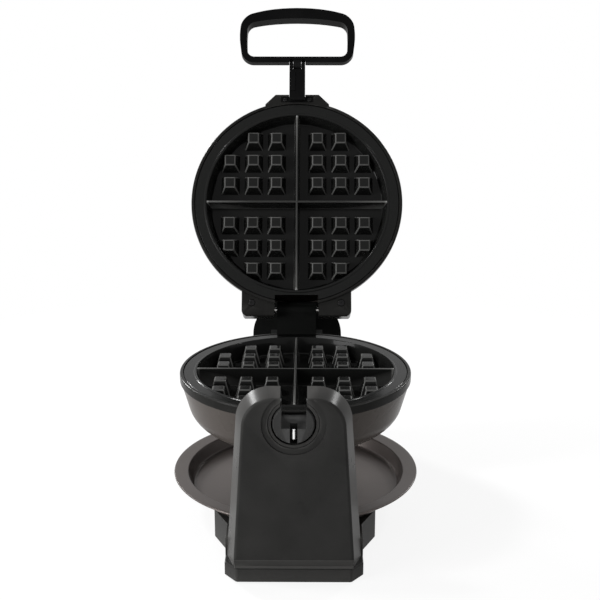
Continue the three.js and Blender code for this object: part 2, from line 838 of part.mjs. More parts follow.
function handleBar() {
  const side = [
    [-headRadius - gap, -barDrop], [-headRadius - gap, barRise], [-forkStart, barRise],
    [-forkStart - forkTaper, barMiddle + forkRadius], [-forkPivot, barMiddle + forkRadius],
    ...arcPoints(-forkPivot, barMiddle, forkRadius, 90, 270, 2 * arcSteps).slice(1),
    [-forkStart - forkTaper, barMiddle - forkRadius], [-forkStart, -barDrop],
  ];
  const bar = widened(side, -barHalf, barHalf);
  const foot = block(-recessHalf + gap, recessHalf - gap, -recessFront + gap, -recessBack - gap,
    bezelFace + 2 * gap, recessDepth - gap);
  const fork = block(-forkSlotHalf, forkSlotHalf, -forkPivot - forkRadius - overrun, -forkSlotStart,
    -barDrop - overrun, barRise + overrun);
  const pinHole = alongX(rod(foldPinRadius + gap, -barHalf - overrun, barHalf + overrun))
    .translate([0, -forkPivot, barMiddle]);
  const tools = [fork, pinHole];
  [-1, 1].forEach((end) => {
    const seat = bezelFace + gap + screwHeadHeight + gap;
    tools.push(screwHole(end * handleScrewX(), handleScrewY(), -overrun, recessDepth + overrun));
    tools.push(screwSeat(end * handleScrewX(), handleScrewY(), -overrun, seat, handleHeadRadius()));
  });
  return cut(bar.add(foot), ...tools);
}

// The loop's outline at a height, let in by the thickness of each side
function loopRing(sideWall, lowWall, topWall, z) {
  const half = loopHalf - sideWall;
  const low = -(loopStart + lowWall);
  const high = -(loopEnd - topWall);
  const shoulder = -(loopShoulder - topWall);
  const shoulderHalf = loopShoulderHalf - sideWall / 2;
  const corner = loopLowCorner - lowWall / 2;
  const path = new THREE.Path();
  path.moveTo(-half + corner, low);
  const tucked = half - sideWall * loopTuckShare;
  const turning = half - corner * loopCornerShare;
  path.quadraticCurveTo(-turning, low, -tucked, low - corner);
  path.quadraticCurveTo(-half, (low - corner - loopSide) / 2, -half, -loopSide);
  path.quadraticCurveTo(-half, shoulder, -shoulderHalf, shoulder);
  path.quadraticCurveTo(-shoulderHalf / 2, high, 0, high);
  path.quadraticCurveTo(shoulderHalf / 2, high, shoulderHalf, shoulder);
  path.quadraticCurveTo(half, shoulder, half, -loopSide);
  path.quadraticCurveTo(half, (low - corner - loopSide) / 2, tucked, low - corner);
  path.quadraticCurveTo(turning, low, half - corner, low);
  return path.getPoints(arcSteps).map((p) => new THREE.Vector3(p.x, p.y, z));
}

function handleLoop() {
  const levels = [[loopBevel, -loopDrop], [0, -loopDrop + loopBevel],
    [0, loopRise - loopBevel], [loopBevel, loopRise]];
  const outer = loft(...levels.map(([inset, z]) => loopRing(inset, inset, inset, z)));
  const inner = loft(...levels.map(([inset, z]) => loopRing(
    loopSideWall - inset,
    loopLowWall - inset,
    loopTopWall - inset,
    z,
  )));
  const loop = cut(outer, inner);
  const room = block(-barHalf - gap, barHalf + gap, -forkPivot - forkRadius - gap, -loopStart + overrun,
    -loopDrop - overrun, loopRise + overrun);
  const tongueHalf = forkSlotHalf - gap;
  const barrel = alongX(rod(tongueRadius, -tongueHalf, tongueHalf, 2 * smallSides))
    .translate([0, -forkPivot, barMiddle]);
  const arm = block(-tongueHalf, tongueHalf, -forkPivot - forkRadius - loopBevel, -forkPivot,
    barMiddle - tongueRadius, barMiddle + tongueRadius);
  const pinHole = alongX(rod(foldPinRadius + gap, -barHalf, barHalf)).translate([0, -forkPivot, barMiddle]);
  return cut(join(cut(loop, room), barrel, arm), pinHole);
}

function buildHandle() {
  place(lid, 'handle_shaft', handleBar(), blackPlastic);
  place(lid, 'handle_grip', handleLoop(), blackPlastic);
  const half = barHalf - gap;
  const pin = alongX(rod(foldPinRadius, -half, half)).translate([0, -forkPivot, barMiddle]);
  place(lid, 'handle_fold_pin', pin, steel);
}

// Towers. The inner face looks at the bowl, the outer face away from it.
const frontShape = {
  half: [towerInnerHalf, towerOuterHalf],
  foot: [towerInnerFoot, towerOuterFoot],
  top: [towerInnerTop, towerOuterTop],
  corner: [towerInnerCorner, towerOuterCorner],
};
const rearShape = {
  half: [rearInnerHalf, rearOuterHalf],
  foot: [towerInnerFoot, towerOuterFoot],
  top: [rearInnerTop, rearOuterTop],
  corner: [rearInnerCorner, rearOuterCorner],
};

function towerRing(shape, y, outerShare, inset, low) {
  const mix = ([inner, outer]) => inner + (outer - inner) * outerShare - inset;
  const half = mix(shape.half);
  const foot = mix(shape.foot);
  const top = mix(shape.top);
  const corner = mix(shape.corner);
  const spring = top - corner;
  const lowHalf = half + ((foot - half) * (spring - low)) / spring;
  const right = arcPoints(half - corner, spring, corner, 0, 90);
  const left = right.map(([x, z]) => [-x, z]).reverse();
  return [[lowHalf, low], ...right, ...left, [-lowHalf, low]].map(([x, z]) => new THREE.Vector3(x, y, z));
}

function towerSolid(shape, yInner, yOuter, shareInner, shareOuter, inset, low) {
  const inner = towerRing(shape, yInner, shareInner, inset, low);
  const outer = towerRing(shape, yOuter, shareOuter, inset, low);
  return yInner < yOuter ? loft(outer, inner) : loft(inner, outer);
}

function notchBox(half, low) {
  const reach = rearTowerBack + overrun;
  return block(-half, half, -reach, 0, low, towerInnerTop + overrun);
}

function coverScrewSpots() {
  return [[-coverScrewX, coverScrewLow], [coverScrewX, coverScrewLow],
    [-coverScrewX, coverScrewHigh], [coverScrewX, coverScrewHigh]];
}

function buildFrontTower() {
  const outer = towerSolid(frontShape, -towerFace, -towerFront, 0, 1, 0, towerFoot);
  const wallShare = 1 - towerWall / frontTowerDepth;
  const room = towerSolid(frontShape, -towerFace + overrun, -towerFront + towerWall,
    -overrun / frontTowerDepth, wallShare, towerWall, towerFoot + towerWall);
  const sleeve = alongY(rod(bearingRadius + bearingWall, -towerFront, -towerFace, roundSides))
    .translate([0, 0, axisHeight]);
  const cheeks = notchBox(notchHalf + towerWall, axisHeight);
  const bosses = coverScrewSpots().slice(2).map(([x, z]) => alongY(
    rod(coverBossRadius, -towerFront, -towerFace - coverSet - coverThick - gap),
  ).translate([x, 0, z]));
  const bore = alongY(rod(bearingRadius, -towerFront - overrun, 0, roundSides))
    .translate([0, 0, axisHeight]);
  const dish = alongY(rod(dishRadius, -towerFront - overrun, -towerFront + dishDepth, roundSides))
    .translate([0, 0, axisHeight]);
  const ribs = join(sleeve, cheeks, ...bosses).intersect(outer);
  const screwHoles = coverScrewSpots().slice(2).map(([x, z]) => alongY(
    screwHole(0, 0, -towerFront + towerWall, 0),
  ).translate([x, 0, z]));
  const notch = notchBox(notchHalf, axisHeight);
  const shell = cut(join(cut(outer, room), ribs), bore, notch, dish, ...screwHoles);
  place(model, 'front_tower_shell', shell, blackPlastic);

  const coverOuter = -towerFace - coverSet;
  const coverInner = coverOuter - coverThick;
  const cover = towerSolid(frontShape, coverOuter, coverInner, coverSet / frontTowerDepth,
    (coverSet + coverThick) / frontTowerDepth, towerWall + gap, towerFoot + towerWall + gap);
  const opening = alongY(rod(bearingRadius + bearingWall + gap, -towerFront, 0, roundSides))
    .translate([0, 0, axisHeight]);
  const holes = coverScrewSpots().slice(2).flatMap(([x, z]) => [
    alongY(screwHole(0, 0, -towerFront, 0)).translate([x, 0, z]),
    alongY(screwSeat(0, 0, coverOuter - screwHeadHeight, 0)).translate([x, 0, z]),
  ]);
  const clearance = notchBox(notchHalf + towerWall + gap, axisHeight);
  place(model, 'front_tower_cover', cut(cover, opening, clearance, ...holes), blackPlastic);
  coverScrewSpots().slice(2).forEach(([x, z], i) => {
    const fastener = alongY(screw(0, 0, 0).rotate([180, 0, 0]).translate([0, 0, coverOuter + gap]))
      .translate([x, 0, z]);
    place(model, `front_cover_screw_${i + 1}`, fastener, steel);
  });

  const linerStart = -towerFront + dishDepth + gap;
  const liner = alongY(tube(linerInner, linerInner + linerWall, linerStart, -towerFace - gap))
    .translate([0, 0, axisHeight]);
  place(model, 'front_bearing_liner', cut(liner, notchBox(notchHalf, axisHeight)), greyPlastic);
}

function buildRearTower() {
  const outer = towerSolid(rearShape, rearTowerFace, rearTowerBack, 0, 1, 0, towerFoot);
  const room = towerSolid(rearShape, rearTowerFace + towerWall, rearTowerBack + overrun,
    towerWall / rearTowerDepth, 1 + overrun / rearTowerDepth, towerWall, towerFoot + towerWall);
  const sleeve = alongY(rod(bushBossRadius, rearTowerFace, rearTowerFace + bushLength - gap, roundSides))
    .translate([0, 0, axisHeight]);
  const coverInner = rearTowerBack - coverSet - coverThick;
  const coverOuter = rearTowerBack - coverSet;
  const bosses = coverScrewSpots().map(([x, z]) => alongY(
    rod(coverBossRadius, rearTowerFace + towerWall / 2, coverInner - gap),
  ).translate([x, 0, z]));
  const bore = alongY(rod(bushOuter + gap, 0, rearTowerBack, roundSides)).translate([0, 0, axisHeight]);
  const screwHoles = coverScrewSpots().map(([x, z]) => alongY(
    screwHole(0, 0, rearTowerFace + towerWall, rearTowerBack + overrun),
  ).translate([x, 0, z]));
  const shell = cut(join(cut(outer, room), sleeve, ...bosses), bore, ...screwHoles);
  place(model, 'rear_tower_shell', shell, blackPlastic);

  const coverShare = 1 - (coverSet + coverThick) / rearTowerDepth;
  const cover = towerSolid(rearShape, coverInner, coverOuter, coverShare, 1 - coverSet / rearTowerDepth,
    towerWall + gap, towerFoot + towerWall + gap);
  const holes = coverScrewSpots().flatMap(([x, z]) => [
    alongY(screwHole(0, 0, 0, rearTowerBack + overrun)).translate([x, 0, z]),
    alongY(screwSeat(0, 0, coverOuter - screwHeadHeight, rearTowerBack + overrun)).translate([x, 0, z]),
  ]);
  const inlet = alongY(rod(glandNeck + gap, 0, rearTowerBack + overrun)).translate([0, 0, glandHeight]);
  place(model, 'rear_tower_cover', cut(cover, inlet, ...holes), blackPlastic);
  coverScrewSpots().forEach(([x, z], i) => {
    const fastener = alongY(screw(0, 0, 0).rotate([180, 0, 0]).translate([0, 0, coverOuter + gap]));
    place(model, `rear_cover_screw_${i + 1}`, fastener.translate([x, 0, z]), steel);
  });

  const bush = turned([
    [bushBore, rearTowerFace - bushFlangeThick - gap],
    [bushOuter + bushFlange, rearTowerFace - bushFlangeThick - gap],
    [bushOuter + bushFlange, rearTowerFace - gap], [bushOuter, rearTowerFace - gap],
    [bushOuter, rearTowerFace + bushLength], [bushBore, rearTowerFace + bushLength],
  ], shaftSides);
  place(model, 'rear_bearing_bush', alongY(bush).translate([0, 0, axisHeight]), greyPlastic);

  const wallInner = rearTowerFace + towerWall + gap;
  const terminal = block(-terminalWidth / 2, terminalWidth / 2, wallInner, wallInner + terminalDepth,
    terminalLow, terminalLow + terminalHeight);
  const ports = [];
  for (let i = 0; i < terminalPorts; i += 1) {
    const x = ((2 * i + 1 - terminalPorts) / (2 * terminalPorts)) * terminalWidth;
    const high = terminalLow + terminalHeight;
    ports.push(rod(terminalPortRadius, high - terminalHeight / 2, high + overrun)
      .translate([x, wallInner + terminalDepth / 2, 0]));
  }
  place(model, 'terminal_block', cut(terminal, ...ports), ceramic);

  const gland = turned([
    [glandBore, coverOuter - glandLength], [glandNeck, coverOuter - glandLength],
    [glandNeck, coverOuter + gap],
    [glandFlange, coverOuter + gap], [glandFlange, coverOuter + gap + glandFlangeThick / 2],
    [glandNeck, coverOuter + gap + glandFlangeThick], [glandBore, coverOuter + gap + glandFlangeThick],
  ], smallSides);
  place(model, 'cord_gland', alongY(gland).translate([0, 0, glandHeight]), rubber);
}

// Base
function baseOutline(inset) {
  const front = -plinthFront + inset;
  const rear = rearPlinthReach - inset;
  const side = plinthHalf - inset;
  const nose = plinthNose - inset / 2;
  const wing = wingHalf - inset;
  const right = [
    [nose, front], [side, front + plinthChamfer], [side, -wingStart - wingSlopeLength],
    [wing, -wingStart], [wing, wingRear], [side, wingRear + wingSlopeLength],
    [side, rear - plinthChamfer], [nose, rear],
  ];
  return [...right, ...right.map(([x, y]) => [-x, y]).reverse()];
}

function buildBase() {
  const plinth = raised(baseOutline(0), skirtGap, plinthTop);
  const deckStart = -towerFace + gap;
  const deckEnd = rearTowerFace - bushFlangeThick - gap;
  const deckBand = block(-wingHalf, wingHalf, deckStart, deckEnd, 0, deckTop);
  const deck = raised(baseOutline(0), plinthTop - overrun, deckTop).intersect(deckBand);
  const lowRoom = raised(baseOutline(baseWall), -overrun, plinthTop - baseWall);
  const highBand = block(-wingHalf, wingHalf, deckStart + baseWall, deckEnd - baseWall, 0, deckTop);
  const highRoom = raised(baseOutline(baseWall), -overrun, deckTop - baseWall).intersect(highBand);
  const spots = [[-bossX, -bossFrontY], [bossX, -bossFrontY], [-bossX, bossRearY], [bossX, bossRearY]];
  const plateTop = footRubber + gap + plateThick;
  const bosses = spots.map(([x, y]) => rod(bossRadius, plateTop + gap, deckTop - baseWall / 2)
    .translate([x, y, 0]));
  const holes = spots.map(([x, y]) => screwHole(x, y, 0, footRubber + gap + screwLength + plateThick));
  const guideMiddle = guideY + guideThick / 2;
  const guides = [-guideMiddle, guideMiddle].map((y) => block(-guideHalf, guideHalf,
    y - guideThick / 2, y + guideThick / 2, deckTop - baseWall / 2, deckTop + guideRise));
  const housing = cut(join(cut(join(plinth, deck), lowRoom, highRoom), ...bosses, ...guides), ...holes);
  place(model, 'base_housing', housing, blackPlastic);

  const feet = [[-footX, -footFrontY], [footX, -footFrontY], [-footX, footRearY], [footX, footRearY]];
  const stemHoles = feet.map(([x, y]) => rod(footStem + gap, 0, deckTop).translate([x, y, 0]));
  const plate = raised(baseOutline(baseWall + gap), footRubber + gap, plateTop);
  place(model, 'base_bottom_plate', cut(plate, ...stemHoles, ...holes), blackPlastic);
  feet.forEach(([x, y], i) => {
    const foot = turned([[0, 0], [footRadius - gap, 0], [footRadius, footRubber], [footStem, footRubber],
      [footStem, plateTop - gap], [0, plateTop - gap]], smallSides);
    place(model, `foot_${i + 1}`, foot.translate([x, y, 0]), rubber);
  });
  spots.forEach(([x, y], i) => {
    place(model, `bottom_screw_${i + 1}`, screw(x, y, footRubber - screwHeadHeight), steel);
  });
}

function buildTray() {
  const flangeInner = trayRadius - trayFlange;
  const low = trayFloor - trayWall;
  const inside = trayTop - trayFlangeDrop;
  const tray = turned([
    [0, low], [trayFloorRadius + trayWall / 2, low],
    [trayFloorRadius + trayCornerReach + trayWall, trayFloor + trayCornerRise - trayWall / 2],
    [flangeInner + trayWall, inside - trayWall], [trayRadius - trayLip, trayTop - trayWall],
    [trayRadius, trayTop - trayWall / 2], [trayRadius - trayLip / 2, trayTop],
    [flangeInner, inside], [trayFloorRadius + trayCornerReach, trayFloor + trayCornerRise],
    [trayFloorRadius, trayFloor], [0, trayFloor],
  ]);
  place(model, 'drip_tray', tray, trayCoat);
}

buildBase();
buildFrontTower();
buildRearTower();
buildTray();
buildLowerHalf();
buildHeadCore();
buildLid();
buildHandle();

// The origin goes to the middle of the footprint of the whole object
model.updateMatrixWorld(true);
const whole = new THREE.Box3().setFromObject(model, true);
model.position.y = -(whole.min.y + whole.max.y) / 2;

export default model;
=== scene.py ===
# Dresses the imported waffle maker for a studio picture.
import json
import math
import bmesh
import bpy
from mathutils import Matrix, Vector


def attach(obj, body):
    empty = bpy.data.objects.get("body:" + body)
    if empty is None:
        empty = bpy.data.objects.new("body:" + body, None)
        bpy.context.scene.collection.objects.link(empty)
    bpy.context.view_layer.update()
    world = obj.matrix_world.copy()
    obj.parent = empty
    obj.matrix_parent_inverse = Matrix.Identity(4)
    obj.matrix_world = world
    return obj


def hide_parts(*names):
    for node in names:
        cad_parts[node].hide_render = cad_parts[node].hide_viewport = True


print("Loading the frame")
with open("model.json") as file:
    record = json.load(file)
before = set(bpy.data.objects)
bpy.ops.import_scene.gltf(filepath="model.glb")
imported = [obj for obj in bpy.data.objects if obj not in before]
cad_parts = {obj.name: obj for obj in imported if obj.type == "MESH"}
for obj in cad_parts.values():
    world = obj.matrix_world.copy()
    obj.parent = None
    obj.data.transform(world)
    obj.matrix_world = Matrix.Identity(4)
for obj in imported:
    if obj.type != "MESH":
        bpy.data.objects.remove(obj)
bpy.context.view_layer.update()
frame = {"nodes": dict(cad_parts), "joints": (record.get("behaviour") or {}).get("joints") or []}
scene = bpy.context.scene

# The joints say where the head, the lid and the grip turn
jointAt = {joint["name"]: Vector(joint["pos_m"]) for joint in frame["joints"] if "pos_m" in joint}
headAt = jointAt["head_flip"]
hingeAt = jointAt["lid_hinge"]
lidOpening = math.radians(117)
millimetres = Matrix.Scale(0.001, 4)

clearance = 0.3     # between parts that are fitted together

# Each piece is drawn in millimetres: the stand from the table up, the two halves of the head
# from their parting plane outwards, and the collar and bracket from the head's axis
standPlace = Matrix.Translation((0, headAt.y, 0)) @ millimetres
headPlace = Matrix.Translation(headAt) @ millimetres
lowerPlace = Matrix.Translation(headAt) @ Matrix.Rotation(math.pi, 4, "Y") @ millimetres
lidPlace = (Matrix.Translation(hingeAt) @ Matrix.Rotation(-lidOpening, 4, "X")
            @ Matrix.Translation(headAt - hingeAt) @ millimetres)


# Shapes

def roundedOutline(points, radii, segments=6):
    # The corners of a flat outline, each rounded by a bevel that suits its angle
    bm = bmesh.new()
    corners = [bm.verts.new((a, b, 0)) for a, b in points]
    bm.faces.new(corners)
    for index, (corner, radius) in enumerate(zip(corners, radii)):
        if not radius:
            continue
        here = Vector(points[index])
        ahead, behind = Vector(points[(index + 1) % len(points)]) - here, Vector(points[index - 1]) - here
        setBack = min(radius / math.tan(ahead.angle(behind) / 2), 0.98 * ahead.length, 0.98 * behind.length)
        bmesh.ops.bevel(bm, geom=[corner], offset=setBack, offset_type="OFFSET", segments=segments,
                        profile=0.5, affect="VERTICES", clamp_overlap=False, material=-1)
    bm.faces.ensure_lookup_table()
    outline = [(loop.vert.co.x, loop.vert.co.y) for loop in bm.faces[0].loops]
    bm.free()
    return outline


def ringOf(bm, points):
    corners = [bm.verts.new(point) for point in points]
    for pair in zip(corners, corners[1:] + corners[:1]):
        bm.edges.new(pair)
    return corners


def softenEdges(bm, width, segments=3, sharperThan=30, where=None):
    limit = math.radians(sharperThan)
    chosen = [edge for edge in bm.edges if len(edge.link_faces) == 2
              and edge.calc_face_angle(0) > limit and (where is None or where(edge))]
    bmesh.ops.bevel(bm, geom=chosen, offset=width, segments=segments, profile=0.5, affect="EDGES",
                    clamp_overlap=True, material=-1)


def tidied(bm):
    bmesh.ops.remove_doubles(bm, verts=bm.verts[:], dist=0.0005)
    bmesh.ops.recalc_face_normals(bm, faces=bm.faces[:])
    return bm


def turned(profile, steps=128, segments=4):
    # A closed profile of (radius, height, corner radius), spun about the vertical axis
    outline = roundedOutline([(r, z) for r, z, _ in profile], [corner for _, _, corner in profile], segments)
    bm = bmesh.new()
    ringOf(bm, [(r, 0, z) for r, z in outline])
    axis = [edge for edge in bm.edges if max(vert.co.x for vert in edge.verts) < 0.0001]
    bmesh.ops.delete(bm, geom=axis, context="EDGES")
    bmesh.ops.spin(bm, geom=bm.verts[:] + bm.edges[:], cent=(0, 0, 0), axis=(0, 0, 1),
                   angle=math.tau, steps=steps, use_merge=True)
    return tidied(bm)


def plate(points, low, high, radii=None, segments=6):
    # A flat outline in X and Y, raised from low to high
    outline = roundedOutline(points, radii, segments) if radii else points
    bm = bmesh.new()
    bm.faces.new([bm.verts.new((x, y, low)) for x, y in outline])
    raised = bmesh.ops.extrude_face_region(bm, geom=bm.faces[:])
    lifted = [item for item in raised["geom"] if isinstance(item, bmesh.types.BMVert)]
    bmesh.ops.translate(bm, verts=lifted, vec=(0, 0, high - low))
    return tidied(bm)


def swung(bm, turn, axis):
    bmesh.ops.transform(bm, matrix=Matrix.Rotation(math.radians(turn), 4, axis), verts=bm.verts[:])
    return bm


def sidePlate(points, left, right, radii=None, segments=6):
    # An outline in Y and Z, widened from left to right
    bm = plate(points, left, right, radii, segments)
    return swung(swung(bm, 90, "X"), 90, "Z")


def moved(bm, x=0, y=0, z=0):
    bmesh.ops.translate(bm, verts=bm.verts[:], vec=(x, y, z))
    return bm


def rectangle(x0, x1, y0, y1):
    return [(x0, y0), (x1, y0), (x1, y1), (x0, y1)]


def slab(half, y0, y1, z0, z1):
    return plate(rectangle(-half, half, y0, y1), z0, z1)


def rod(radius, low, high, steps=64, corner=0):
    return turned([(0, low, 0), (radius, low, corner), (radius, high, corner), (0, high, 0)], steps)


def pipe(inner, outer, low, high, steps=96, corner=0.3):
    return turned([(inner, low, corner), (outer, low, corner), (outer, high, corner), (inner, high, corner)],
                  steps, 2)


def alongY(bm):
    return swung(bm, -90, "X")


def alongX(bm):
    return swung(bm, 90, "Y")


def crossRod(radius, half, y, z, steps, corner=0):
    return moved(alongX(rod(radius, -half, half, steps, corner)), 0, y, z)


def placed(name, data):
    made = bpy.data.objects.new(name, data)
    scene.collection.objects.link(made)
    return made


def objectOf(name, bm):
    mesh = bpy.data.meshes.new(name)
    bm.to_mesh(mesh)
    bm.free()
    return placed(name, mesh)


def shaped(bm, *steps, merge=True):
    # Adds, cuts or keeps with the solids that follow, each given as (what to do, shape). Flat faces are
    # merged, but not on rings, where wear and shading would smear over wide faces
    bmesh.ops.triangulate(bm, faces=bm.faces[:])
    base = objectOf("work", bm)
    tools = []
    for action, tool in steps:
        bmesh.ops.triangulate(tool, faces=tool.faces[:])
        tools.append(objectOf("tool", tool))
        change = base.modifiers.new(action, "BOOLEAN")
        change.operation = {"add": "UNION", "cut": "DIFFERENCE", "keep": "INTERSECT"}[action]
        change.solver = "EXACT"
        change.object = tools[-1]
    graph = bpy.context.evaluated_depsgraph_get()
    result = bmesh.new()
    result.from_mesh(base.evaluated_get(graph).to_mesh())
    base.evaluated_get(graph).to_mesh_clear()
    for made in [base] + tools:
        mesh = made.data
        bpy.data.objects.remove(made)
        bpy.data.meshes.remove(mesh)
    tidied(result)
    if merge:
        bmesh.ops.dissolve_limit(result, angle_limit=math.radians(0.3), verts=result.verts[:],
                                 edges=result.edges[:])
    return result


def joined(*shapes):
    whole = shapes[0]
    for shape in shapes[1:]:
        scratch = bpy.data.meshes.new("scratch")
        shape.to_mesh(scratch)
        shape.free()
        whole.from_mesh(scratch)
        bpy.data.meshes.remove(scratch)
    return whole


def addPiece(name, bm, place, body, finish, replaced, sharpAt=32, edge=0, edgeSegments=3, second=None):
    bmesh.ops.transform(bm, matrix=place, verts=bm.verts[:])
    bmesh.ops.recalc_face_normals(bm, faces=bm.faces[:])
    for face in bm.faces:
        face.smooth = True
    piece = objectOf(name, bm)
    piece.data.set_sharp_from_angle(angle=math.radians(sharpAt))
    for look in filter(None, (finish, second)):
        piece.data.materials.append(finishes[look])
    if edge:
        rounding = piece.modifiers.new("rounded edges", "BEVEL")
        rounding.width = edge / 1000
        rounding.segments = edgeSegments
        rounding.limit_method = "ANGLE"
        rounding.angle_limit = math.radians(sharpAt)
        rounding.harden_normals = True
        rounding.miter_outer = "MITER_ARC"
    evening = piece.modifiers.new("even shading", "WEIGHTED_NORMAL")
    evening.keep_sharp = True
    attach(piece, body)
    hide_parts(*replaced)


# Finishes

print("Mixing the finishes")


def give(tree, sockets, settings):
    # Sets a number or a colour on each socket that is named, or links another socket to it
    for label, setting in settings.items():
        if isinstance(setting, tuple):
            sockets[label].default_value = (*setting, 1)
        elif isinstance(setting, (int, float)):
            sockets[label].default_value = setting
        else:
            tree.links.new(setting, sockets[label])


def noiseIn(tree, place, scale, detail=3.0, roughness=0.55):
    noise = tree.nodes.new("ShaderNodeTexNoise")
    give(tree, noise.inputs, {"Vector": place, "Scale": scale, "Detail": detail, "Roughness": roughness})
    return noise.outputs["Fac"]


def rangeIn(tree, value, low, high, toLow=0.0, toHigh=1.0):
    ramp = tree.nodes.new("ShaderNodeMapRange")
    give(tree, ramp.inputs, {"Value": value, "From Min": low, "From Max": high, "To Min": toLow,
                             "To Max": toHigh})
    return ramp.outputs["Result"]


def mathIn(tree, operation, first, second):
    node = tree.nodes.new("ShaderNodeMath")
    node.operation = operation
    give(tree, node.inputs, {0: first, 1: second})
    return node.outputs[0]


def mixIn(tree, share, first, second):
    mix = tree.nodes.new("ShaderNodeMix")
    mix.data_type = "RGBA"
    give(tree, mix.inputs, {0: share, 6: first, 7: second})
    return mix.outputs[2]


def edgeIn(tree, amount):
    # The outward edges, where a surface wears first and where the coating's highlight is painted
    outward = tree.nodes.new("ShaderNodeNewGeometry").outputs["Pointiness"]
    return mathIn(tree, "MULTIPLY", rangeIn(tree, outward, 0.52, 0.6), amount)


def newGroup(name, inputs):
    # A group with these inputs and a roughness range, that puts out colour, roughness and height
    group = bpy.data.node_groups.new(name, "ShaderNodeTree")
    for label, value in {**inputs, "Rough Low": 0.3, "Rough High": 0.5}.items():
        isColor = isinstance(value, tuple)
        kind = "NodeSocketColor" if isColor else "NodeSocketFloat"
        socket = group.interface.new_socket(name=label, in_out="INPUT", socket_type=kind)
        socket.default_value = (*value, 1) if isColor else value
    for label, kind in (("Color", "NodeSocketColor"), ("Roughness", "NodeSocketFloat"),
                        ("Height", "NodeSocketFloat")):
        group.interface.new_socket(name=label, in_out="OUTPUT", socket_type=kind)
    place = group.nodes.new("ShaderNodeTexCoord").outputs["Object"]
    return group, group.nodes.new("NodeGroupInput").outputs, group.nodes.new("NodeGroupOutput").inputs, place


def closeGroup(group, given, made, color, sheen, height):
    # The sheen's pattern runs through the roughness range
    rough = rangeIn(group, sheen, 0.3, 0.7, given["Rough Low"], given["Rough High"])
    give(group, made, {"Color": color, "Roughness": rough, "Height": height})
    return group


def makeMouldedGroup():
    # Moulded plastic: a fine spark-eroded grain, a faint flow of tone and paler worn edges
    group, given, made, place = newGroup("moulded grain", {
        "Color": (0.02, 0.02, 0.02), "Worn Color": (0.1, 0.1, 0.1), "Grain Scale": 1600.0, "Wear": 0.3})
    cloud = noiseIn(group, place, 22.0, 4.0)
    share = mathIn(group, "ADD", edgeIn(group, given["Wear"]), rangeIn(group, cloud, 0.3, 0.7, 0.0, 0.12))
    color = mixIn(group, share, given["Color"], given["Worn Color"])
    return closeGroup(group, given, made, color, cloud, noiseIn(group, place, given["Grain Scale"], 2.0))


def makeCoatedGroup():
    # Baked coating on metal: orange peel, small specks, a slow change of sheen and a painted highlight on its
    # outward edges
    group, given, made, place = newGroup("baked coating", {
        "Color": (0.02, 0.02, 0.02), "Speck Color": (0.1, 0.1, 0.1), "Painted Highlight Color": (0.32, 0.32, 0.31),
        "Painted Highlight": 0.0, "Speck Scale": 900.0, "Specks": 0.3})
    speck = noiseIn(group, place, given["Speck Scale"], 3.0, 0.7)
    dots = mathIn(group, "MULTIPLY", rangeIn(group, speck, 0.56, 0.72), given["Specks"])
    coat = mixIn(group, dots, given["Color"], given["Speck Color"])
    color = mixIn(group, edgeIn(group, given["Painted Highlight"]), coat, given["Painted Highlight Color"])
    return closeGroup(group, given, made, color, noiseIn(group, place, 15.0, 4.0),
                      noiseIn(group, place, 420.0, 2.0))


def makeBrushedGroup():
    # Drawn or turned steel: fine scratches that run one way, with a little tarnish
    group, given, made, place = newGroup("drawn steel", {
        "Color": (0.6, 0.6, 0.6), "Tarnish Color": (0.3, 0.28, 0.26), "Tarnish": 0.4})
    drawn = group.nodes.new("ShaderNodeMapping")
    drawn.inputs["Scale"].default_value = (1.0, 1.0, 18.0)
    give(group, drawn.inputs, {"Vector": place})
    lines = noiseIn(group, drawn.outputs["Vector"], 300.0, 4.0, 0.7)
    stain = rangeIn(group, noiseIn(group, place, 60.0, 4.0), 0.45, 0.75)
    stain = mathIn(group, "MULTIPLY", stain, given["Tarnish"])
    color = mixIn(group, stain, given["Color"], given["Tarnish Color"])
    return closeGroup(group, given, made, color, lines, lines)


finishGroups = {"moulded": makeMouldedGroup(), "coated": makeCoatedGroup(), "brushed": makeBrushedGroup()}


def makeFinish(name, kind, values, rough, metal=0.0, bump=0.1, depth=0.00002, coat=0.0, coatRough=0.2,
               specular=0.5, glow=0.0):
    finish = bpy.data.materials.new(name)
    finish.use_nodes = True
    tree = finish.node_tree
    shader = tree.nodes["Principled BSDF"].inputs
    give(tree, shader, {"Metallic": metal, "Coat Weight": coat, "Coat Roughness": coatRough,
                        "Specular IOR Level": specular})
    if glow:
        give(tree, shader, {"Emission Color": values["Color"], "Emission Strength": glow})
    detail = tree.nodes.new("ShaderNodeGroup")
    detail.node_tree = finishGroups[kind]
    give(tree, detail.inputs, {**values, "Rough Low": rough[0], "Rough High": rough[1]})
    made = detail.outputs
    relief = tree.nodes.new("ShaderNodeBump")
    give(tree, relief.inputs, {"Strength": bump, "Distance": depth, "Height": made["Height"]})
    give(tree, shader, {"Base Color": made["Color"], "Roughness": made["Roughness"],
                        "Normal": relief.outputs["Normal"]})
    return finish


def moulded(name, color, worn, wear, grain, rough, bump=0.2, depth=0.00003, **rest):
    return makeFinish(name, "moulded", {"Color": color, "Worn Color": worn, "Wear": wear, "Grain Scale": grain},
                      rough, bump=bump, depth=depth, **rest)


def coated(name, color, speck, share, scale, rough, paintedHighlight=0.0, **rest):
    return makeFinish(name, "coated", {"Color": color, "Speck Color": speck, "Specks": share,
                                       "Speck Scale": scale, "Painted Highlight": paintedHighlight}, rough, **rest)


def brushed(name, color, tarnish, share, rough, **rest):
    return makeFinish(name, "brushed", {"Color": color, "Tarnish Color": tarnish, "Tarnish": share}, rough,
                      **rest)


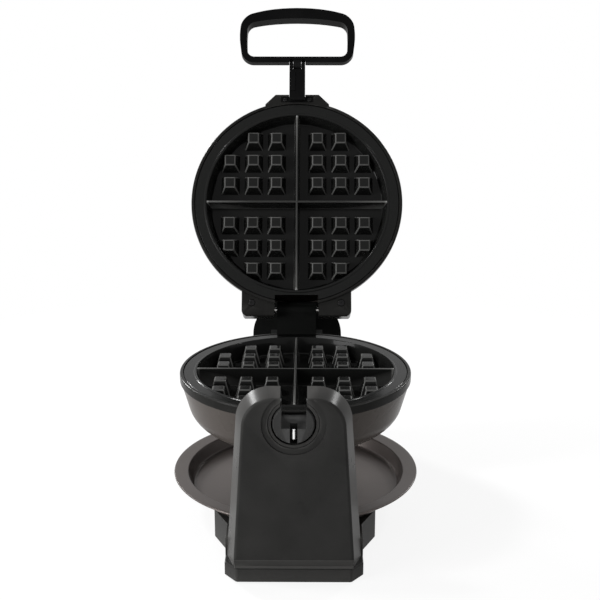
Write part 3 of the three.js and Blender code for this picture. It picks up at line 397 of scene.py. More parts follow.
lensLook = {"bump": 0.05, "depth": 0.00002, "coat": 0.6, "coatRough": 0.05, "glow": 0.15}
nonStick = {
    "color": (0.007, 0.0072, 0.0069), "speck": (0.02, 0.02, 0.02), "share": 0.4, "scale": 1100.0,
    "rough": (0.16, 0.24), "bump": 0.2, "depth": 0.00005, "coat": 0.08, "coatRough": 0.06, "specular": 0.05,
}
finishes = {
    "blackPlastic": moulded("black plastic", (0.02, 0.0198, 0.0192), (0.09, 0.088, 0.085), 0.4, 1500.0,
                            (0.26, 0.34), specular=0.03),
    # Painted shade: black plastic darkened on the handle, for the dark surroundings in front of it and above
    "shadedGripPlastic": moulded("shaded grip plastic", (0.0022, 0.0022, 0.0023), (0.025, 0.025, 0.025), 0.2, 1300.0,
                           (0.26, 0.36), bump=0.25, depth=0.00004, specular=0.02),
    # Painted shade: black plastic darkened on the bezel rings, for the dark surroundings above their front
    "shadedBezelPlastic": moulded("shaded bezel plastic", (0.0075, 0.0074, 0.0069), (0.06, 0.059, 0.057), 0.4, 1500.0,
                            (0.2, 0.3), specular=0.05),
    # Painted shade: black plastic darkened for the shadow that the rear tower and the hinge bracket stand in
    "shadedBlackPlastic": moulded("shaded black plastic", (0.0022, 0.0026, 0.0022), (0.02, 0.02, 0.02), 0.2, 1500.0,
                            (0.4, 0.5), specular=0.02),
    "greyPlastic": moulded("collar plastic", (0.026, 0.026, 0.0255), (0.1, 0.1, 0.1), 0.3, 1700.0,
                           (0.26, 0.34), specular=0.08),
    "rubber": moulded("foot rubber", (0.012, 0.012, 0.012), (0.05, 0.05, 0.048), 0.4, 900.0, (0.75, 0.88),
                      bump=0.4, depth=0.00006, specular=0.3),
    "amberLens": moulded("amber lens", (0.75, 0.27, 0.02), (0.85, 0.45, 0.12), 0.2, 500.0, (0.08, 0.14),
                         **lensLook),
    "greenLens": moulded("green lens", (0.06, 0.42, 0.07), (0.2, 0.55, 0.2), 0.2, 500.0, (0.08, 0.14),
                         **lensLook),
    "nonStick": coated("non stick coating", **nonStick),
    # The same coating with a painted highlight on its outward edges, for the studs and ridges
    "paintedHighlightCoat": coated("non stick coating with painted highlights", paintedHighlight=0.9, **nonStick),
    "bowlCoat": coated("gunmetal coat", (0.062, 0.0545, 0.0495), (0.12, 0.105, 0.095), 0.25, 1500.0,
                       (0.24, 0.32), bump=0.12, depth=0.00004, specular=0.05),
    "trayCoat": coated("tray coat", (0.066, 0.056, 0.052), (0.12, 0.105, 0.096), 0.4, 1300.0, (0.28, 0.38),
                       metal=0.4, bump=0.15, depth=0.00005, specular=0.2),
    "ceramic": coated("pale ceramic", (0.68, 0.63, 0.54), (0.5, 0.44, 0.36), 0.3, 700.0, (0.3, 0.5), bump=0.2,
                      depth=0.00004),
    "steel": brushed("plain steel", (0.62, 0.62, 0.61), (0.36, 0.34, 0.31), 0.4, (0.22, 0.38), metal=1.0),
    "blackSteel": brushed("blackened steel", (0.012, 0.012, 0.0125), (0.03, 0.028, 0.026), 0.4, (0.3, 0.45),
                          metal=0.9),
    "polished": brushed("polished steel", (0.9, 0.9, 0.9), (0.7, 0.7, 0.69), 0.15, (0.08, 0.16), metal=1.0,
                        bump=0.04, depth=0.00001),
    "sheath": brushed("heater sheath", (0.34, 0.33, 0.32), (0.2, 0.15, 0.11), 0.8, (0.35, 0.55), metal=0.9,
                      bump=0.15),
}

# Waffle plates

waffle = {
    "face": 0.6, "rim": 102.3, "thick": 3.0, "wellTop": 90.8, "wellFloor": 87.0, "floor": 17.1, "sunk": 1.5,
    "crestHalf": 0.8, "footHalf": 3.2, "ridgeCuts": (-0.97, -0.5, 0, 0.5, 0.97), "studRows": 3,
    "studFirst": 20.75, "studPitch": 23.5, "studTopHalf": 5.3, "studFootHalf": 9.7, "studHead": 3.1,
    "studRound": 1.1, "postRing": 48, "postTurns": (90, 210, 330), "postRadius": 5, "postNeck": 3.4,
    "postShoulder": 33.1, "postEnd": 51.0, "lip": 1.9, "flange": 1.2,
}


def waffleStud(x, y):
    w = waffle
    head, foot = (w["studTopHalf"], w["studHead"]), (w["studFootHalf"], w["floor"] + w["sunk"])
    bm = bmesh.new()
    bmesh.ops.create_cube(bm, size=2)
    for corner in bm.verts:
        half, height = head if corner.co.z < 0 else foot
        corner.co = (corner.co.x * half, corner.co.y * half, height)
    softenEdges(bm, w["studRound"], 4, 30)
    broad = [face for face in bm.faces if face.calc_area() > 30]
    bmesh.ops.inset_individual(bm, faces=broad, thickness=0.5)
    moved(bm, x, y)
    reach = w["wellFloor"]
    for corner in bm.verts:     # studs at the wall are drawn in to it
        slope = (w["floor"] - corner.co.z) / (w["floor"] - w["face"])
        limit = reach + (w["wellTop"] - reach) * max(0, min(1, slope)) + 0.8
        out = math.hypot(corner.co.x, corner.co.y)
        if out > limit:
            corner.co.x *= limit / out
            corner.co.y *= limit / out
    return bm


def waffleRidge(quarterTurn):
    w = waffle
    reach = (w["wellTop"] + w["wellFloor"]) / 2 + w["sunk"]
    low, high = w["floor"] + w["sunk"], w["face"]
    crest, foot = w["crestHalf"], w["footHalf"]
    neck, step = crest + 0.2, high + 1.4
    profile = [(-foot, low), (foot, low), (neck, step), (crest, high), (-crest, high), (-neck, step)]
    bm = sidePlate(profile, -reach, reach, [0, 0, 0, 0.6, 0.6, 0], 3)
    # Corners along its length and just above the floor keep the painted highlight near the crest
    cuts = [((share * reach, 0, 0), (1, 0, 0)) for share in w["ridgeCuts"]]
    for at, across in cuts + [((0, 0, w["floor"] - 0.6), (0, 0, 1))]:
        bmesh.ops.bisect_plane(bm, geom=bm.verts[:] + bm.edges[:] + bm.faces[:], plane_co=at, plane_no=across)
    return swung(bm, quarterTurn, "Z")


def wafflePost(turn):
    w = waffle
    start, radius, neck = w["floor"] + 2, w["postRadius"], w["postNeck"]
    bm = turned([(0, start, 0), (radius, start, 0), (radius, w["postShoulder"], 0.4),
                 (neck, w["postShoulder"], 0), (neck, w["postEnd"], 0.4), (0, w["postEnd"], 0)], 32)
    return swung(moved(bm, w["postRing"]), turn, "Z")


def wafflePlate(notched):
    w = waffle
    lip, back, flangeBack = w["wellTop"] + w["lip"], w["floor"] + w["thick"], w["face"] + w["thick"]
    dish = turned([
        (0, w["floor"], 0), (w["wellFloor"], w["floor"], 2.0), (w["wellTop"], w["face"], 0.8),
        (lip, w["face"], 0.7), (lip + 0.7, w["flange"], 0.4), (w["rim"], w["flange"], 0.6),
        (w["rim"], flangeBack, 0.3), (w["wellTop"] + w["thick"], flangeBack, 1.0),
        (w["wellFloor"] + 1.5, back, 1.5), (0, back, 0),
    ], 160)
    if notched:
        dish = shaped(dish, ("cut", hingeNotch()), merge=False)
    raised = [waffleRidge(0), waffleRidge(90)]
    first, pitch, rows = w["studFirst"], w["studPitch"], range(w["studRows"])
    for i in rows:
        for j in rows:
            if i + j < 4:       # the far corner lies outside the well
                x, y = first + i * pitch, first + j * pitch
                raised += [waffleStud(sx * x, sy * y) for sx in (-1, 1) for sy in (-1, 1)]
    for shape in raised:        # their edges carry a painted highlight, so they take the plate's second finish
        for face in shape.faces:
            face.material_index = 1
    return joined(dish, *raised, *(wafflePost(turn) for turn in w["postTurns"]))


# The bowls and their bezels

bowl = {
    "rim": 104.8, "rimAt": 8.7, "waist": 98.0, "waistAt": 33.0, "depth": 52.5, "crown": 0.8, "wall": 1.2,
    "cornerRound": 27.0,
}
bezel = {"face": 0.7, "radius": 106.0, "inner": 102.9, "end": 8.4, "ledge": 98.5, "ledgeAt": 3.9}
hinge = {"y": 107.0, "z": 22.5, "hole": 3.3, "pin": 3.0, "pinHalf": 53.4}
ear = {
    "inner": 22.0, "outer": 54.2, "from": 80.0, "reach": 116.4, "low": 2.3, "round": 8.0, "corner": 6.0,
    "screwX": 44.3, "screwY": 103.0, "screwHole": 3.65, "screwDeep": 4.6, "lean": 1.0, "noseRound": 2.2,
    "heelRound": 7.7, "soft": 0.5,
}
notch = {"half": 21.5, "from": 95.3, "length": 30.0, "depth": 28.0}
handleBlock = {
    "half": 32.5, "nose": 22.0, "reach": 112.8, "shoulder": 102.5, "back": 84.0, "height": 20.0,
    "chamfer": 4.0, "soft": 0.5, "recessHalf": 16.4, "recessFront": 111.0, "recessBack": 104.7,
    "recessDepth": 8.6, "wayHalf": 8.3, "wayBack": 106.0, "wayDepth": 9.7,
}


def hingeNotch():
    n = notch
    return slab(n["half"], n["from"], n["from"] + n["length"], -5, n["depth"])


def bowlProfile(grow):
    b = bowl
    slope = (b["rim"] - b["waist"]) / (b["waistAt"] - b["rimAt"])
    heel = b["waist"] - slope * (b["depth"] - b["waistAt"])
    return [(b["rim"] + grow, b["rimAt"], 0), (heel + grow, b["depth"] + grow, b["cornerRound"]),
            (0, b["depth"] + b["crown"] + grow, 0)]


def bowlShell(notched):
    b = bowl
    outer = bowlProfile(0)
    inner = [(r, z, max(0, c - b["wall"])) for r, z, c in reversed(bowlProfile(-b["wall"]))]
    outer[0] = (b["rim"], b["rimAt"], 0.4)
    bm = turned(outer + inner, 176, 10)
    return shaped(bm, ("cut", hingeNotch())) if notched else bm


def bowlSpace():
    low = bezel["end"]
    profile = bowlProfile(clearance)
    profile[0] = (profile[0][0], low, 0)
    return turned([(0, low, 0)] + profile, 176, 6)


def bezelRing():
    b = bezel
    return turned([(b["inner"], b["face"], 0.5), (b["radius"], b["face"], 1.3), (b["radius"], b["end"], 0.6),
                   (b["ledge"], b["end"], 0.2), (b["ledge"], b["ledgeAt"], 0.2),
                   (b["inner"], b["ledgeAt"], 0)], 176)


def lidEars():
    e = ear
    top = hinge["z"] + e["round"]
    side = [(e["from"], e["low"]), (e["reach"], e["low"]), (e["reach"] - e["lean"], top), (e["from"], top)]
    plan = [(0, 0), (e["outer"], 0), (e["outer"], e["reach"]), (0, e["reach"])]
    shapes = []
    for mirrored in (1, -1):
        body = sidePlate(side, e["inner"], e["outer"], [0, e["noseRound"], e["heelRound"], 0], 8)
        cutter = plate(plan, -5, top + 5, [0, 0, e["corner"], 0], 8)
        body = shaped(body, ("keep", cutter))
        softenEdges(body, e["soft"], 2, 50)
        if mirrored < 0:
            bmesh.ops.scale(body, vec=(-1, 1, 1), verts=body.verts[:])
            bmesh.ops.reverse_faces(body, faces=body.faces[:])
        shapes.append(body)
    return shapes


def handleHousing():
    h = handleBlock
    half, nose, reach, back = h["half"], h["nose"], -h["reach"], -h["back"]
    low, top = bezel["face"], bezel["face"] + h["height"]
    plan = [(-half, -h["shoulder"]), (-nose, reach), (nose, reach), (half, -h["shoulder"]), (half, back),
            (-half, back)]
    side = [(reach, -5), (reach, top - h["chamfer"]), (reach + h["chamfer"], top), (0, top), (0, -5)]
    body = shaped(plate(plan, low, top, [1.2, 1.2, 1.2, 1.2, 0, 0], 4),
                  ("keep", sidePlate(side, -60, 60, [0, 1.5, 1.5, 0, 0], 4)))
    softenEdges(body, h["soft"], 2, 40, lambda edge: max(v.co.y for v in edge.verts) < back - 0.1)
    return body


def lidBezel():
    h, e = handleBlock, ear
    left, right = lidEars()
    hollow = rod(bezel["inner"], -5, bezel["end"] + 0.01, 176)
    added = shaped(handleHousing(), ("add", left), ("add", right), ("cut", hollow), ("cut", bowlSpace()))
    recess = slab(h["recessHalf"], -h["recessFront"], -h["recessBack"], -5, h["recessDepth"])
    way = slab(h["wayHalf"], -h["reach"] - 5, -h["wayBack"], -5, h["wayDepth"])
    steps = [("add", added), ("cut", recess), ("cut", way), ("cut", hingeNotch()),
             ("cut", crossRod(hinge["hole"], 70, hinge["y"], hinge["z"], 48))]
    for x in (-e["screwX"], e["screwX"]):
        steps.append(("cut", moved(rod(e["screwHole"], -5, e["screwDeep"], 40), x, e["screwY"])))
    return shaped(bezelRing(), *steps, merge=False)


halves = (("lower", lowerPlace, "head", False, bezelRing), ("upper", lidPlace, "lid", True, lidBezel))
print("Casting the waffle plates")
for half, place, body, notched, _ in halves:
    addPiece(f"{half}WafflePlate", wafflePlate(notched), place, body, "nonStick",
             [f"{half}_grid_plate"], second="paintedHighlightCoat")

print("Spinning the bowls and bezels")
for half, place, body, notched, ring in halves:
    addPiece(f"{half}Bowl", bowlShell(notched), place, body, "bowlCoat", [f"{half}_shell"])
    # The bezel rings take the black plastic darkened as painted shade
    addPiece(f"{half}BezelRing", ring(), place, body, "shadedBezelPlastic", [f"{half}_bezel"])

# The collar, its catch pin and the bracket at the back

collar = {
    "radius": 17.4, "faceRadius": 16.4, "front": 136.2, "lipAt": 134.2, "back": 113.5, "neckHalf": 17.0,
    "neckFront": 115.2, "neckBack": 85.0, "neckDrop": 31.0, "neckTop": 0.5, "pocketHalf": 10.3,
    "pocketBack": 106.0, "pocketFloor": -3.6, "slotHalf": 3.1, "slotBack": 124.5,
}
bracket = {
    "half": 26.0, "from": 85.0, "reach": 119.5, "drop": 36.0, "top": -2.0, "columnFrom": 106.15,
    "columnTop": 5.0, "knuckleHalf": 19.5, "knuckleRound": 8.5, "shaftSeat": 12.3, "screwX": 17.0,
    "screwZ": -26.0, "screwHole": 2.0,
}
catchPin = {"at": -130.5, "profile": [(0, -15.7, 0), (2.6, -15.7, 2.4), (2.6, -6.1, 2.4), (0, -6.1, 0)]}
pivotShaft = {"inner": 8, "outer": 12, "low": 110.8, "high": 177.6}
shaftRing = {"inner": 12.3, "outer": 15.4, "low": 170.3, "high": 171.9, "steps": 64}


def headSpace():
    rim = bezel["radius"] + clearance
    profile = [(0, -5, 0), (rim, -5, 0), (rim, bowl["rimAt"], 0), *bowlProfile(clearance)[1:]]
    return swung(turned(profile, 176, 6), 180, "Y")


def collarShape():
    c = collar
    neck = slab(c["neckHalf"], -c["neckFront"], -c["neckBack"], -c["neckDrop"], -c["neckTop"])
    journal = turned([(0, -c["front"], 0), (c["faceRadius"], -c["front"], 0.5), (c["radius"], -c["lipAt"], 0.3),
                      (c["radius"], -c["back"], 0.3), (0, -c["back"], 0)], 96)
    pocket = slab(c["pocketHalf"], -150, -c["pocketBack"], c["pocketFloor"], 30)
    slot = moved(swung(slab(c["slotHalf"], -30, 1, 0, 20), 90, "X"), 0, -c["slotBack"], 0)
    return shaped(neck, ("cut", headSpace()), ("add", alongY(journal)), ("cut", pocket), ("cut", slot))


def bracketShape():
    b, reach, columnTop = bracket, bracket["reach"], bracket["columnTop"]
    front, back = hinge["y"] - b["knuckleRound"], hinge["y"] + b["knuckleRound"]
    top = hinge["z"] + b["knuckleRound"]
    pad = slab(b["half"], b["from"], reach, -b["drop"], b["top"])
    column = slab(b["knuckleHalf"], b["columnFrom"], reach, -b["drop"], columnTop)
    side = [(front, -0.3), (reach, -0.3), (reach, columnTop), (back, hinge["z"]), (back, top), (front, top)]
    knuckle = sidePlate(side, -b["knuckleHalf"], b["knuckleHalf"], [0, 0, 1, 2, 8.2, 8.2], 12)
    steps = [("cut", headSpace()), ("add", column), ("add", knuckle),
             ("cut", alongY(rod(b["shaftSeat"], reach - 9, reach + 5, 64))),
             ("cut", crossRod(hinge["hole"], 40, hinge["y"], hinge["z"], 40))]
    for x in (-b["screwX"], b["screwX"]):
        steps.append(("cut", moved(alongY(rod(b["screwHole"], 100, 130, 24)), x, 0, b["screwZ"])))
    return shaped(pad, *steps)


print("Fitting the collar and the rear bracket")
addPiece("turningCollar", collarShape(), headPlace, "head", "greyPlastic", ["front_collar"],
         edge=0.35, edgeSegments=2)
# The bracket takes the black plastic darkened as painted shade
addPiece("rearBracket", bracketShape(), headPlace, "head", "shadedBlackPlastic",
         ["rear_pivot_bracket"], edge=0.6)
pin = moved(turned(catchPin["profile"], 40, 6), 0, catchPin["at"])
addPiece("catchPin", pin, headPlace, "plunger", "polished", ["lock_plunger"])
hingePin = crossRod(hinge["pin"], hinge["pinHalf"], hinge["y"], hinge["z"], 40, 0.6)
for name, shape, node in (("pivotShaft", alongY(pipe(**pivotShaft)), "rear_pivot_shaft"),
                          ("retainingRing", alongY(pipe(**shaftRing)), "shaft_retaining_ring"),
                          ("lidHingePin", hingePin, "hinge_pin")):
    addPiece(name, shape, headPlace, "head", "steel", [node])

# The handle

# Half width, distance from the head's middle and rounding of the loop's corners, from the bar up
grip = {
    "outer": [(56.2, 146.3, 13.0), (59.6, 174.0, 60.0), (57.6, 196.8, 17.0), (0, 212.5, 157.0)],
    "inner": [(51.0, 152.7, 7.0), (51.7, 172.0, 60.0), (51.2, 188.9, 9.0), (0, 199.6, 205.0)],
    "low": -3.0, "high": 10.6, "lowBack": 5.0, "backFrom": 152.0, "backTo": 186.0, "edge": 2.6, "pivot": 145.0,
    "barrel": 4.5, "armHalf": 4.0, "armEnd": 152.3, "roomHalf": 8.3, "roomEnd": 150.1, "roomBack": 140.0,
    "pinHole": 2.4, "pin": 2.1, "pinHalf": 7.7,
}
bar = {
    "half": 8.0, "from": 106.3, "low": -3.0, "high": 9.4, "forkFrom": 137.0, "forkStep": 1.3, "forkRound": 4.8,
    "slotHalf": 4.3, "slotFrom": 139.8, "footHalf": 16.1, "footFront": 110.7, "footBack": 105.0,
    "footLow": 1.3, "footHigh": 8.3, "middle": 3.2, "hole": 2.6, "holeTop": 3.0, "screwX": 12.2,
    "screwY": -107.85, "rib": (-6.9, -1.9, -116.0, -136.6),
}


def gripLoop(corners, low, high):
    right = [(x, -reach, radius) for x, reach, radius in corners]
    left = [(-x, y, radius) for x, y, radius in reversed(right) if x]
    outline = right + left
    return plate([(x, y) for x, y, _ in outline], low, high, [radius for _, _, radius in outline], 12)


def gripShape():
    g, pivot, middle = grip, -grip["pivot"], bar["middle"]
    side = [(-230, -20), (-230, g["high"]), (-g["backTo"], g["high"]), (-g["backFrom"], g["lowBack"]),
            (-130, g["lowBack"]), (-130, -20)]
    loop = shaped(gripLoop(g["outer"], g["low"], g["high"]), ("keep", sidePlate(side, -70, 70)),
                  ("cut", gripLoop(g["inner"], g["low"] - 3, g["high"] + 3)))
    softenEdges(loop, g["edge"], 5, 60)
    arm = slab(g["armHalf"], -g["armEnd"], pivot, middle - g["barrel"], middle + g["barrel"])
    room = slab(g["roomHalf"], -g["roomEnd"], -g["roomBack"], g["low"] - 5, g["high"] + 5)
    return shaped(loop, ("cut", room), ("add", arm),
                  ("add", crossRod(g["barrel"], g["armHalf"], pivot, middle, 48)),
                  ("cut", crossRod(g["pinHole"], 9, pivot, middle, 32)))


def barShape():
    b, pivot = bar, -grip["pivot"]
    fork, step, end = -b["forkFrom"], -b["forkFrom"] - b["forkStep"], pivot - b["forkRound"]
    forkLow, forkHigh = b["middle"] - b["forkRound"], b["middle"] + b["forkRound"]
    side = [(-b["from"], b["low"]), (-b["from"], b["high"]), (fork, b["high"]), (step, forkHigh),
            (end, forkHigh), (end, forkLow), (step, forkLow), (fork, b["low"])]
    body = sidePlate(side, -b["half"], b["half"], [0, 0, 1.5, 1, 4.7, 4.7, 1, 1.5], 8)
    foot = slab(b["footHalf"], -b["footFront"], -b["footBack"], b["footLow"], b["footHigh"])
    rib = plate(rectangle(*b["rib"]), b["low"] - 0.5, b["low"] + 1, [0.4, 0.4, 2.4, 2.4], 8)
    softenEdges(rib, 0.4, 3, 50, lambda edge: max(v.co.z for v in edge.verts) < b["low"])
    slot = slab(b["slotHalf"], pivot - 12, -b["slotFrom"], b["low"] - 5, b["high"] + 5)
    steps = [("add", foot), ("add", rib), ("cut", slot),
             ("cut", crossRod(grip["pinHole"], 20, pivot, b["middle"], 32))]
    for x in (-b["screwX"], b["screwX"]):
        steps.append(("cut", moved(rod(b["hole"], -5, b["holeTop"], 40), x, b["screwY"])))
    return shaped(body, *steps)


print("Moulding the handle")
# The handle takes the black plastic darkened as painted shade
addPiece("handleLoop", gripShape(), lidPlace, "handle", "shadedGripPlastic", ["handle_grip"])
addPiece("handleBar", barShape(), lidPlace, "lid", "shadedGripPlastic", ["handle_shaft"], edge=0.8)
foldPin = crossRod(grip["pin"], grip["pinHalf"], -grip["pivot"], bar["middle"], 40, 0.5)
addPiece("foldPin", foldPin, lidPlace, "lid", "steel", ["handle_fold_pin"])

# The towers

tower = {
    "foot": 12.8, "wall": 2.8, "edge": 2.2, "frontFace": 136.5, "frontBack": 115.5, "rearFace": 158.0,
    "rearBack": 188.0, "axis": 141.0, "notchHalf": 10.9, "cheekTop": 162.5, "bore": 21.3, "dish": 26.5,
    "dishDepth": 0.8, "sleeve": 24.3, "boss": 18.3, "bossLength": 11.7, "bush": 15.3, "toe": 2.7,
    "toeHalf": 49.4, "toeHigh": 1.9, "hollow": 4.5,
}
# Half width, half width at the foot, top and corner, first at the bowl's side and then outside
frontArch = {"half": (48.3, 42.3), "footHalf": (58.4, 51.3), "top": (166.5, 163.0), "corner": (30.0, 26.0)}
rearArch = {"half": (46.4, 41.0), "footHalf": (58.4, 51.3), "top": (161.0, 158.0), "corner": (40.0, 36.0)}
# The lids that close the towers, and their screws across and up
cover = {
    "sunk": 0.4, "thick": 2.5, "screwHole": 3.65, "screwDeep": 1.4, "front": [(-34, 92), (34, 92)],
    "rear": [(-34, 44), (34, 44), (-34, 92), (34, 92)], "slots": 5, "slotHalf": 16, "slotLow": 62,
    "slotHigh": 64.2, "slotPitch": 6,
}
bearing = {
    "liner": {"inner": 18.4, "outer": 21.0, "low": -135.2, "high": -115.8, "steps": 96},
    "bush": [(12.4, 156.2, 0.3), (17.5, 156.2, 0.4), (17.5, 157.7, 0.4), (15, 157.7, 0), (15, 170, 0.3),
             (12.4, 170, 0.3)],
}
gland = {
    "height": 38, "hole": 6.5, "profile": [
        (3.5, 179.6, 0.3), (6.2, 179.6, 0.3), (6.2, 187.9, 0), (9, 187.9, 0.4), (9, 189.2, 0.8),
        (6.2, 190.4, 0.8), (3.5, 190.4, 0.5)],
}


def archOutline(arch, share, inset, low):
    half, foot, top, corner = (arch[key][0] + (arch[key][1] - arch[key][0]) * share - inset
                               for key in ("half", "footHalf", "top", "corner"))
    spring = top - corner
    slope = (foot - half) / spring
    wide = half + slope * (spring - low)
    points = [(wide, low), (half, spring), (half, top), (-half, top), (-half, spring), (-wide, low)]
    return roundedOutline(points, [0, 0, corner * 0.98, corner * 0.98, 0, 0], 16)


def towerBody(arch, nearY, farY, nearShare, farShare, inset, low, edge=0):
    bm = bmesh.new()
    near = ringOf(bm, [(x, nearY, z) for x, z in archOutline(arch, nearShare, inset, low)])
    far = ringOf(bm, [(x, farY, z) for x, z in archOutline(arch, farShare, inset, low)])
    bmesh.ops.bridge_loops(bm, edges=bm.edges[:])
    bm.faces.new(near)
    bm.faces.new(far)
    tidied(bm)
    if edge:
        outer = far if abs(farY) > abs(nearY) else near
        rim = set(outer)
        front = [edge for edge in bm.edges if set(edge.verts) <= rim]
        bmesh.ops.bevel(bm, geom=front, offset=edge, offset_type="OFFSET", segments=5, profile=0.5,
                        affect="EDGES", clamp_overlap=True, material=-1)
    return tidied(bm)


def towerBore(radius, y0, y1):
    return moved(alongY(rod(radius, y0, y1, 96)), 0, 0, tower["axis"])


def topSlot(half):
    # Opens the front tower above its bore
    return slab(half, -150, -100, tower["axis"], 190)


def towerFillet():
    # The hollow curve that ends the front face above the plinth
    t = tower
    half, face, hollow = t["toeHalf"], -t["frontFace"], t["hollow"]
    toe, low, high = face - t["toe"], t["foot"] + 0.02, t["foot"] + t["toeHigh"] + hollow
    body = plate([(-half, toe), (half, toe), (half + 1.4, face + 3), (-half - 1.4, face + 3)], low, high)
    return shaped(body, ("cut", crossRod(hollow, 70, face - hollow - 0.1, high, 64)))


def frontTowerShape():
    t = tower
    near, far, wall, half = -t["frontBack"], -t["frontFace"], t["wall"], t["notchHalf"]
    depth = near - far
    shell = towerBody(frontArch, near, far, 0, 1, 0, t["foot"], t["edge"])
    room = towerBody(frontArch, near + 5, far + wall, -5 / depth, 1 - wall / depth, wall, t["foot"] + wall)
    sleeve = shaped(towerBore(t["sleeve"], far + 1.5, near),
                    ("keep", towerBody(frontArch, near, far, 0, 1, 0.2, t["foot"])))
    cheek = slab(half + wall, far + 1.5, near - 0.1, t["axis"], t["cheekTop"])
    shell = shaped(shell, ("add", towerFillet()))
    return shaped(shell, ("cut", room), ("add", sleeve), ("add", cheek),
                  ("cut", towerBore(t["bore"], -150, -100)), ("cut", topSlot(half)),
                  ("cut", towerBore(t["dish"], -150, far + t["dishDepth"])))


def rearTowerShape():
    t = tower
    near, far, wall = t["rearFace"], t["rearBack"], t["wall"]
    depth = far - near
    shell = towerBody(rearArch, near, far, 0, 1, 0, t["foot"], t["edge"])
    room = towerBody(rearArch, near + wall, far + 5, wall / depth, 1 + 5 / depth, wall, t["foot"] + wall)
    return shaped(shell, ("cut", room), ("add", towerBore(t["boss"], near + 1, near + t["bossLength"])),
                  ("cut", towerBore(t["bush"], 150, 200)))


def coverShape(arch, y0, y1, share0, share1):
    inset = tower["wall"] + clearance
    return towerBody(arch, y0, y1, share0, share1, inset, tower["foot"] + inset, 0.6)


def coverHoles(spots, face):
    return [("cut", moved(alongY(rod(cover["screwHole"], face - cover["screwDeep"], face + 5, 32)), x, 0, z))
            for x, z in spots]


def frontCoverShape():
    t, c = tower, cover
    near, depth = -t["frontBack"] - c["sunk"], t["frontFace"] - t["frontBack"]
    shape = coverShape(frontArch, near, near - c["thick"], c["sunk"] / depth, (c["sunk"] + c["thick"]) / depth)
    return shaped(shape, ("cut", towerBore(t["sleeve"] + clearance, -150, -100)),
                  ("cut", topSlot(t["notchHalf"] + t["wall"] + clearance)), *coverHoles(c["front"], near))


def rearCoverShape():
    t, c = tower, cover
    far, depth = t["rearBack"] - c["sunk"], t["rearBack"] - t["rearFace"]
    shape = coverShape(rearArch, far - c["thick"], far, 1 - (c["sunk"] + c["thick"]) / depth,
                       1 - c["sunk"] / depth)
    slots = [("cut", slab(c["slotHalf"], 180, 200, c["slotLow"] + rise, c["slotHigh"] + rise))
             for rise in (row * c["slotPitch"] for row in range(c["slots"]))]
    return shaped(shape, ("cut", moved(alongY(rod(gland["hole"], 170, 200, 48)), 0, 0, gland["height"])),
                  *coverHoles(c["rear"], far), *slots)


print("Raising the towers")
for name, shape, finish, node in (
        ("frontTower", frontTowerShape(), "blackPlastic", "front_tower_shell"),
        ("frontTowerLid", frontCoverShape(), "blackPlastic", "front_tower_cover"),
        # The rear tower takes the black plastic darkened as painted shade
        ("rearTower", rearTowerShape(), "shadedBlackPlastic", "rear_tower_shell"),
        ("rearTowerLid", rearCoverShape(), "blackPlastic", "rear_tower_cover")):
    addPiece(name, shape, standPlace, "base", finish, [node], sharpAt=28)
liner = moved(alongY(pipe(**bearing["liner"])), 0, 0, tower["axis"])
addPiece("bearingLiner", shaped(liner, ("cut", topSlot(tower["notchHalf"]))), standPlace, "base",
         "blackPlastic", ["front_bearing_liner"])
bush = moved(alongY(turned(bearing["bush"], 96)), 0, 0, tower["axis"])
addPiece("rearBush", bush, standPlace, "base", "greyPlastic", ["rear_bearing_bush"])
glandShape = moved(alongY(turned(gland["profile"], 64)), 0, 0, gland["height"])
addPiece("cordGland", glandShape, standPlace, "base", "rubber", ["cord_gland"])

# The base and its feet

base = {
    "skirt": 0.9, "plinthTop": 12.5, "front": 140.3, "nose": 48.2, "chamfer": 13.0, "half": 58.8, "wing": 72.4,
    "wingFrom": 60.0, "wingSlope": 28.0, "wingTo": 128.0, "back": 191.8, "deckTop": 27.7, "deckFrom": 115.2,
    "deckTo": 156.2, "wall": 3.0, "edge": 1.6, "railFrom": 99.9, "railTo": 102.1, "railHalf": 56,
    "railHigh": 3, "corners": (3, 3, 4, 6, 6, 4, 3, 3),
}


def baseOutline(inset):
    b = base
    nose, half, wing = b["nose"] - inset / 2, b["half"] - inset, b["wing"] - inset
    right = [(nose, -b["front"] + inset), (half, -b["front"] + b["chamfer"] + inset / 2),
             (half, -b["wingFrom"] - b["wingSlope"]), (wing, -b["wingFrom"]), (wing, b["wingTo"]),
             (half, b["wingTo"] + b["wingSlope"]), (half, b["back"] - b["chamfer"] - inset / 2),
             (nose, b["back"] - inset)]
    return right + [(-x, y) for x, y in reversed(right)]


def baseShape():
    b = base
    corners, wall, top = b["corners"] * 2, b["wall"], b["deckTop"]
    plinth = plate(baseOutline(0), b["skirt"], b["plinthTop"], corners, 5)
    softenEdges(plinth, b["edge"], 4, 50, lambda edge: edge.calc_face_angle(0) > 1.2
                and min(v.co.z for v in edge.verts) > b["plinthTop"] - 0.1)
    deck = shaped(plate(baseOutline(0), b["plinthTop"] - 6, top, corners, 5),
                  ("keep", slab(80, -b["deckFrom"], b["deckTo"], 0, top)))
    softenEdges(deck, 1.2, 3, 50, lambda edge: max(v.co.z for v in edge.verts) > top - 0.1)
    lowRoom = plate(baseOutline(wall), -5, b["plinthTop"] - wall)
    highRoom = shaped(plate(baseOutline(wall), 2, top - wall),
                      ("keep", slab(80, wall - b["deckFrom"], b["deckTo"] - wall, 0, 40)))
    steps = [("add", deck), ("cut", lowRoom), ("cut", highRoom)]
    for y0, y1 in ((-b["railTo"], -b["railFrom"]), (b["railFrom"], b["railTo"])):
        rail = slab(b["railHalf"], y0, y1, top - 1.5, top + b["railHigh"])
        softenEdges(rail, 0.6, 3, 50, lambda edge: max(v.co.z for v in edge.verts) > top)
        steps.append(("add", rail))
    return shaped(plinth, *steps)


print("Laying the base, the feet and the tray")
addPiece("standBase", baseShape(), standPlace, "base", "blackPlastic", ["base_housing"],
         sharpAt=28)

tray = {
    "radius": 114.0, "top": 42.8, "flange": 100.5, "flangeTop": 41.8, "floor": 29.4, "floorRadius": 95.5,
    "wall": 1.4,
}


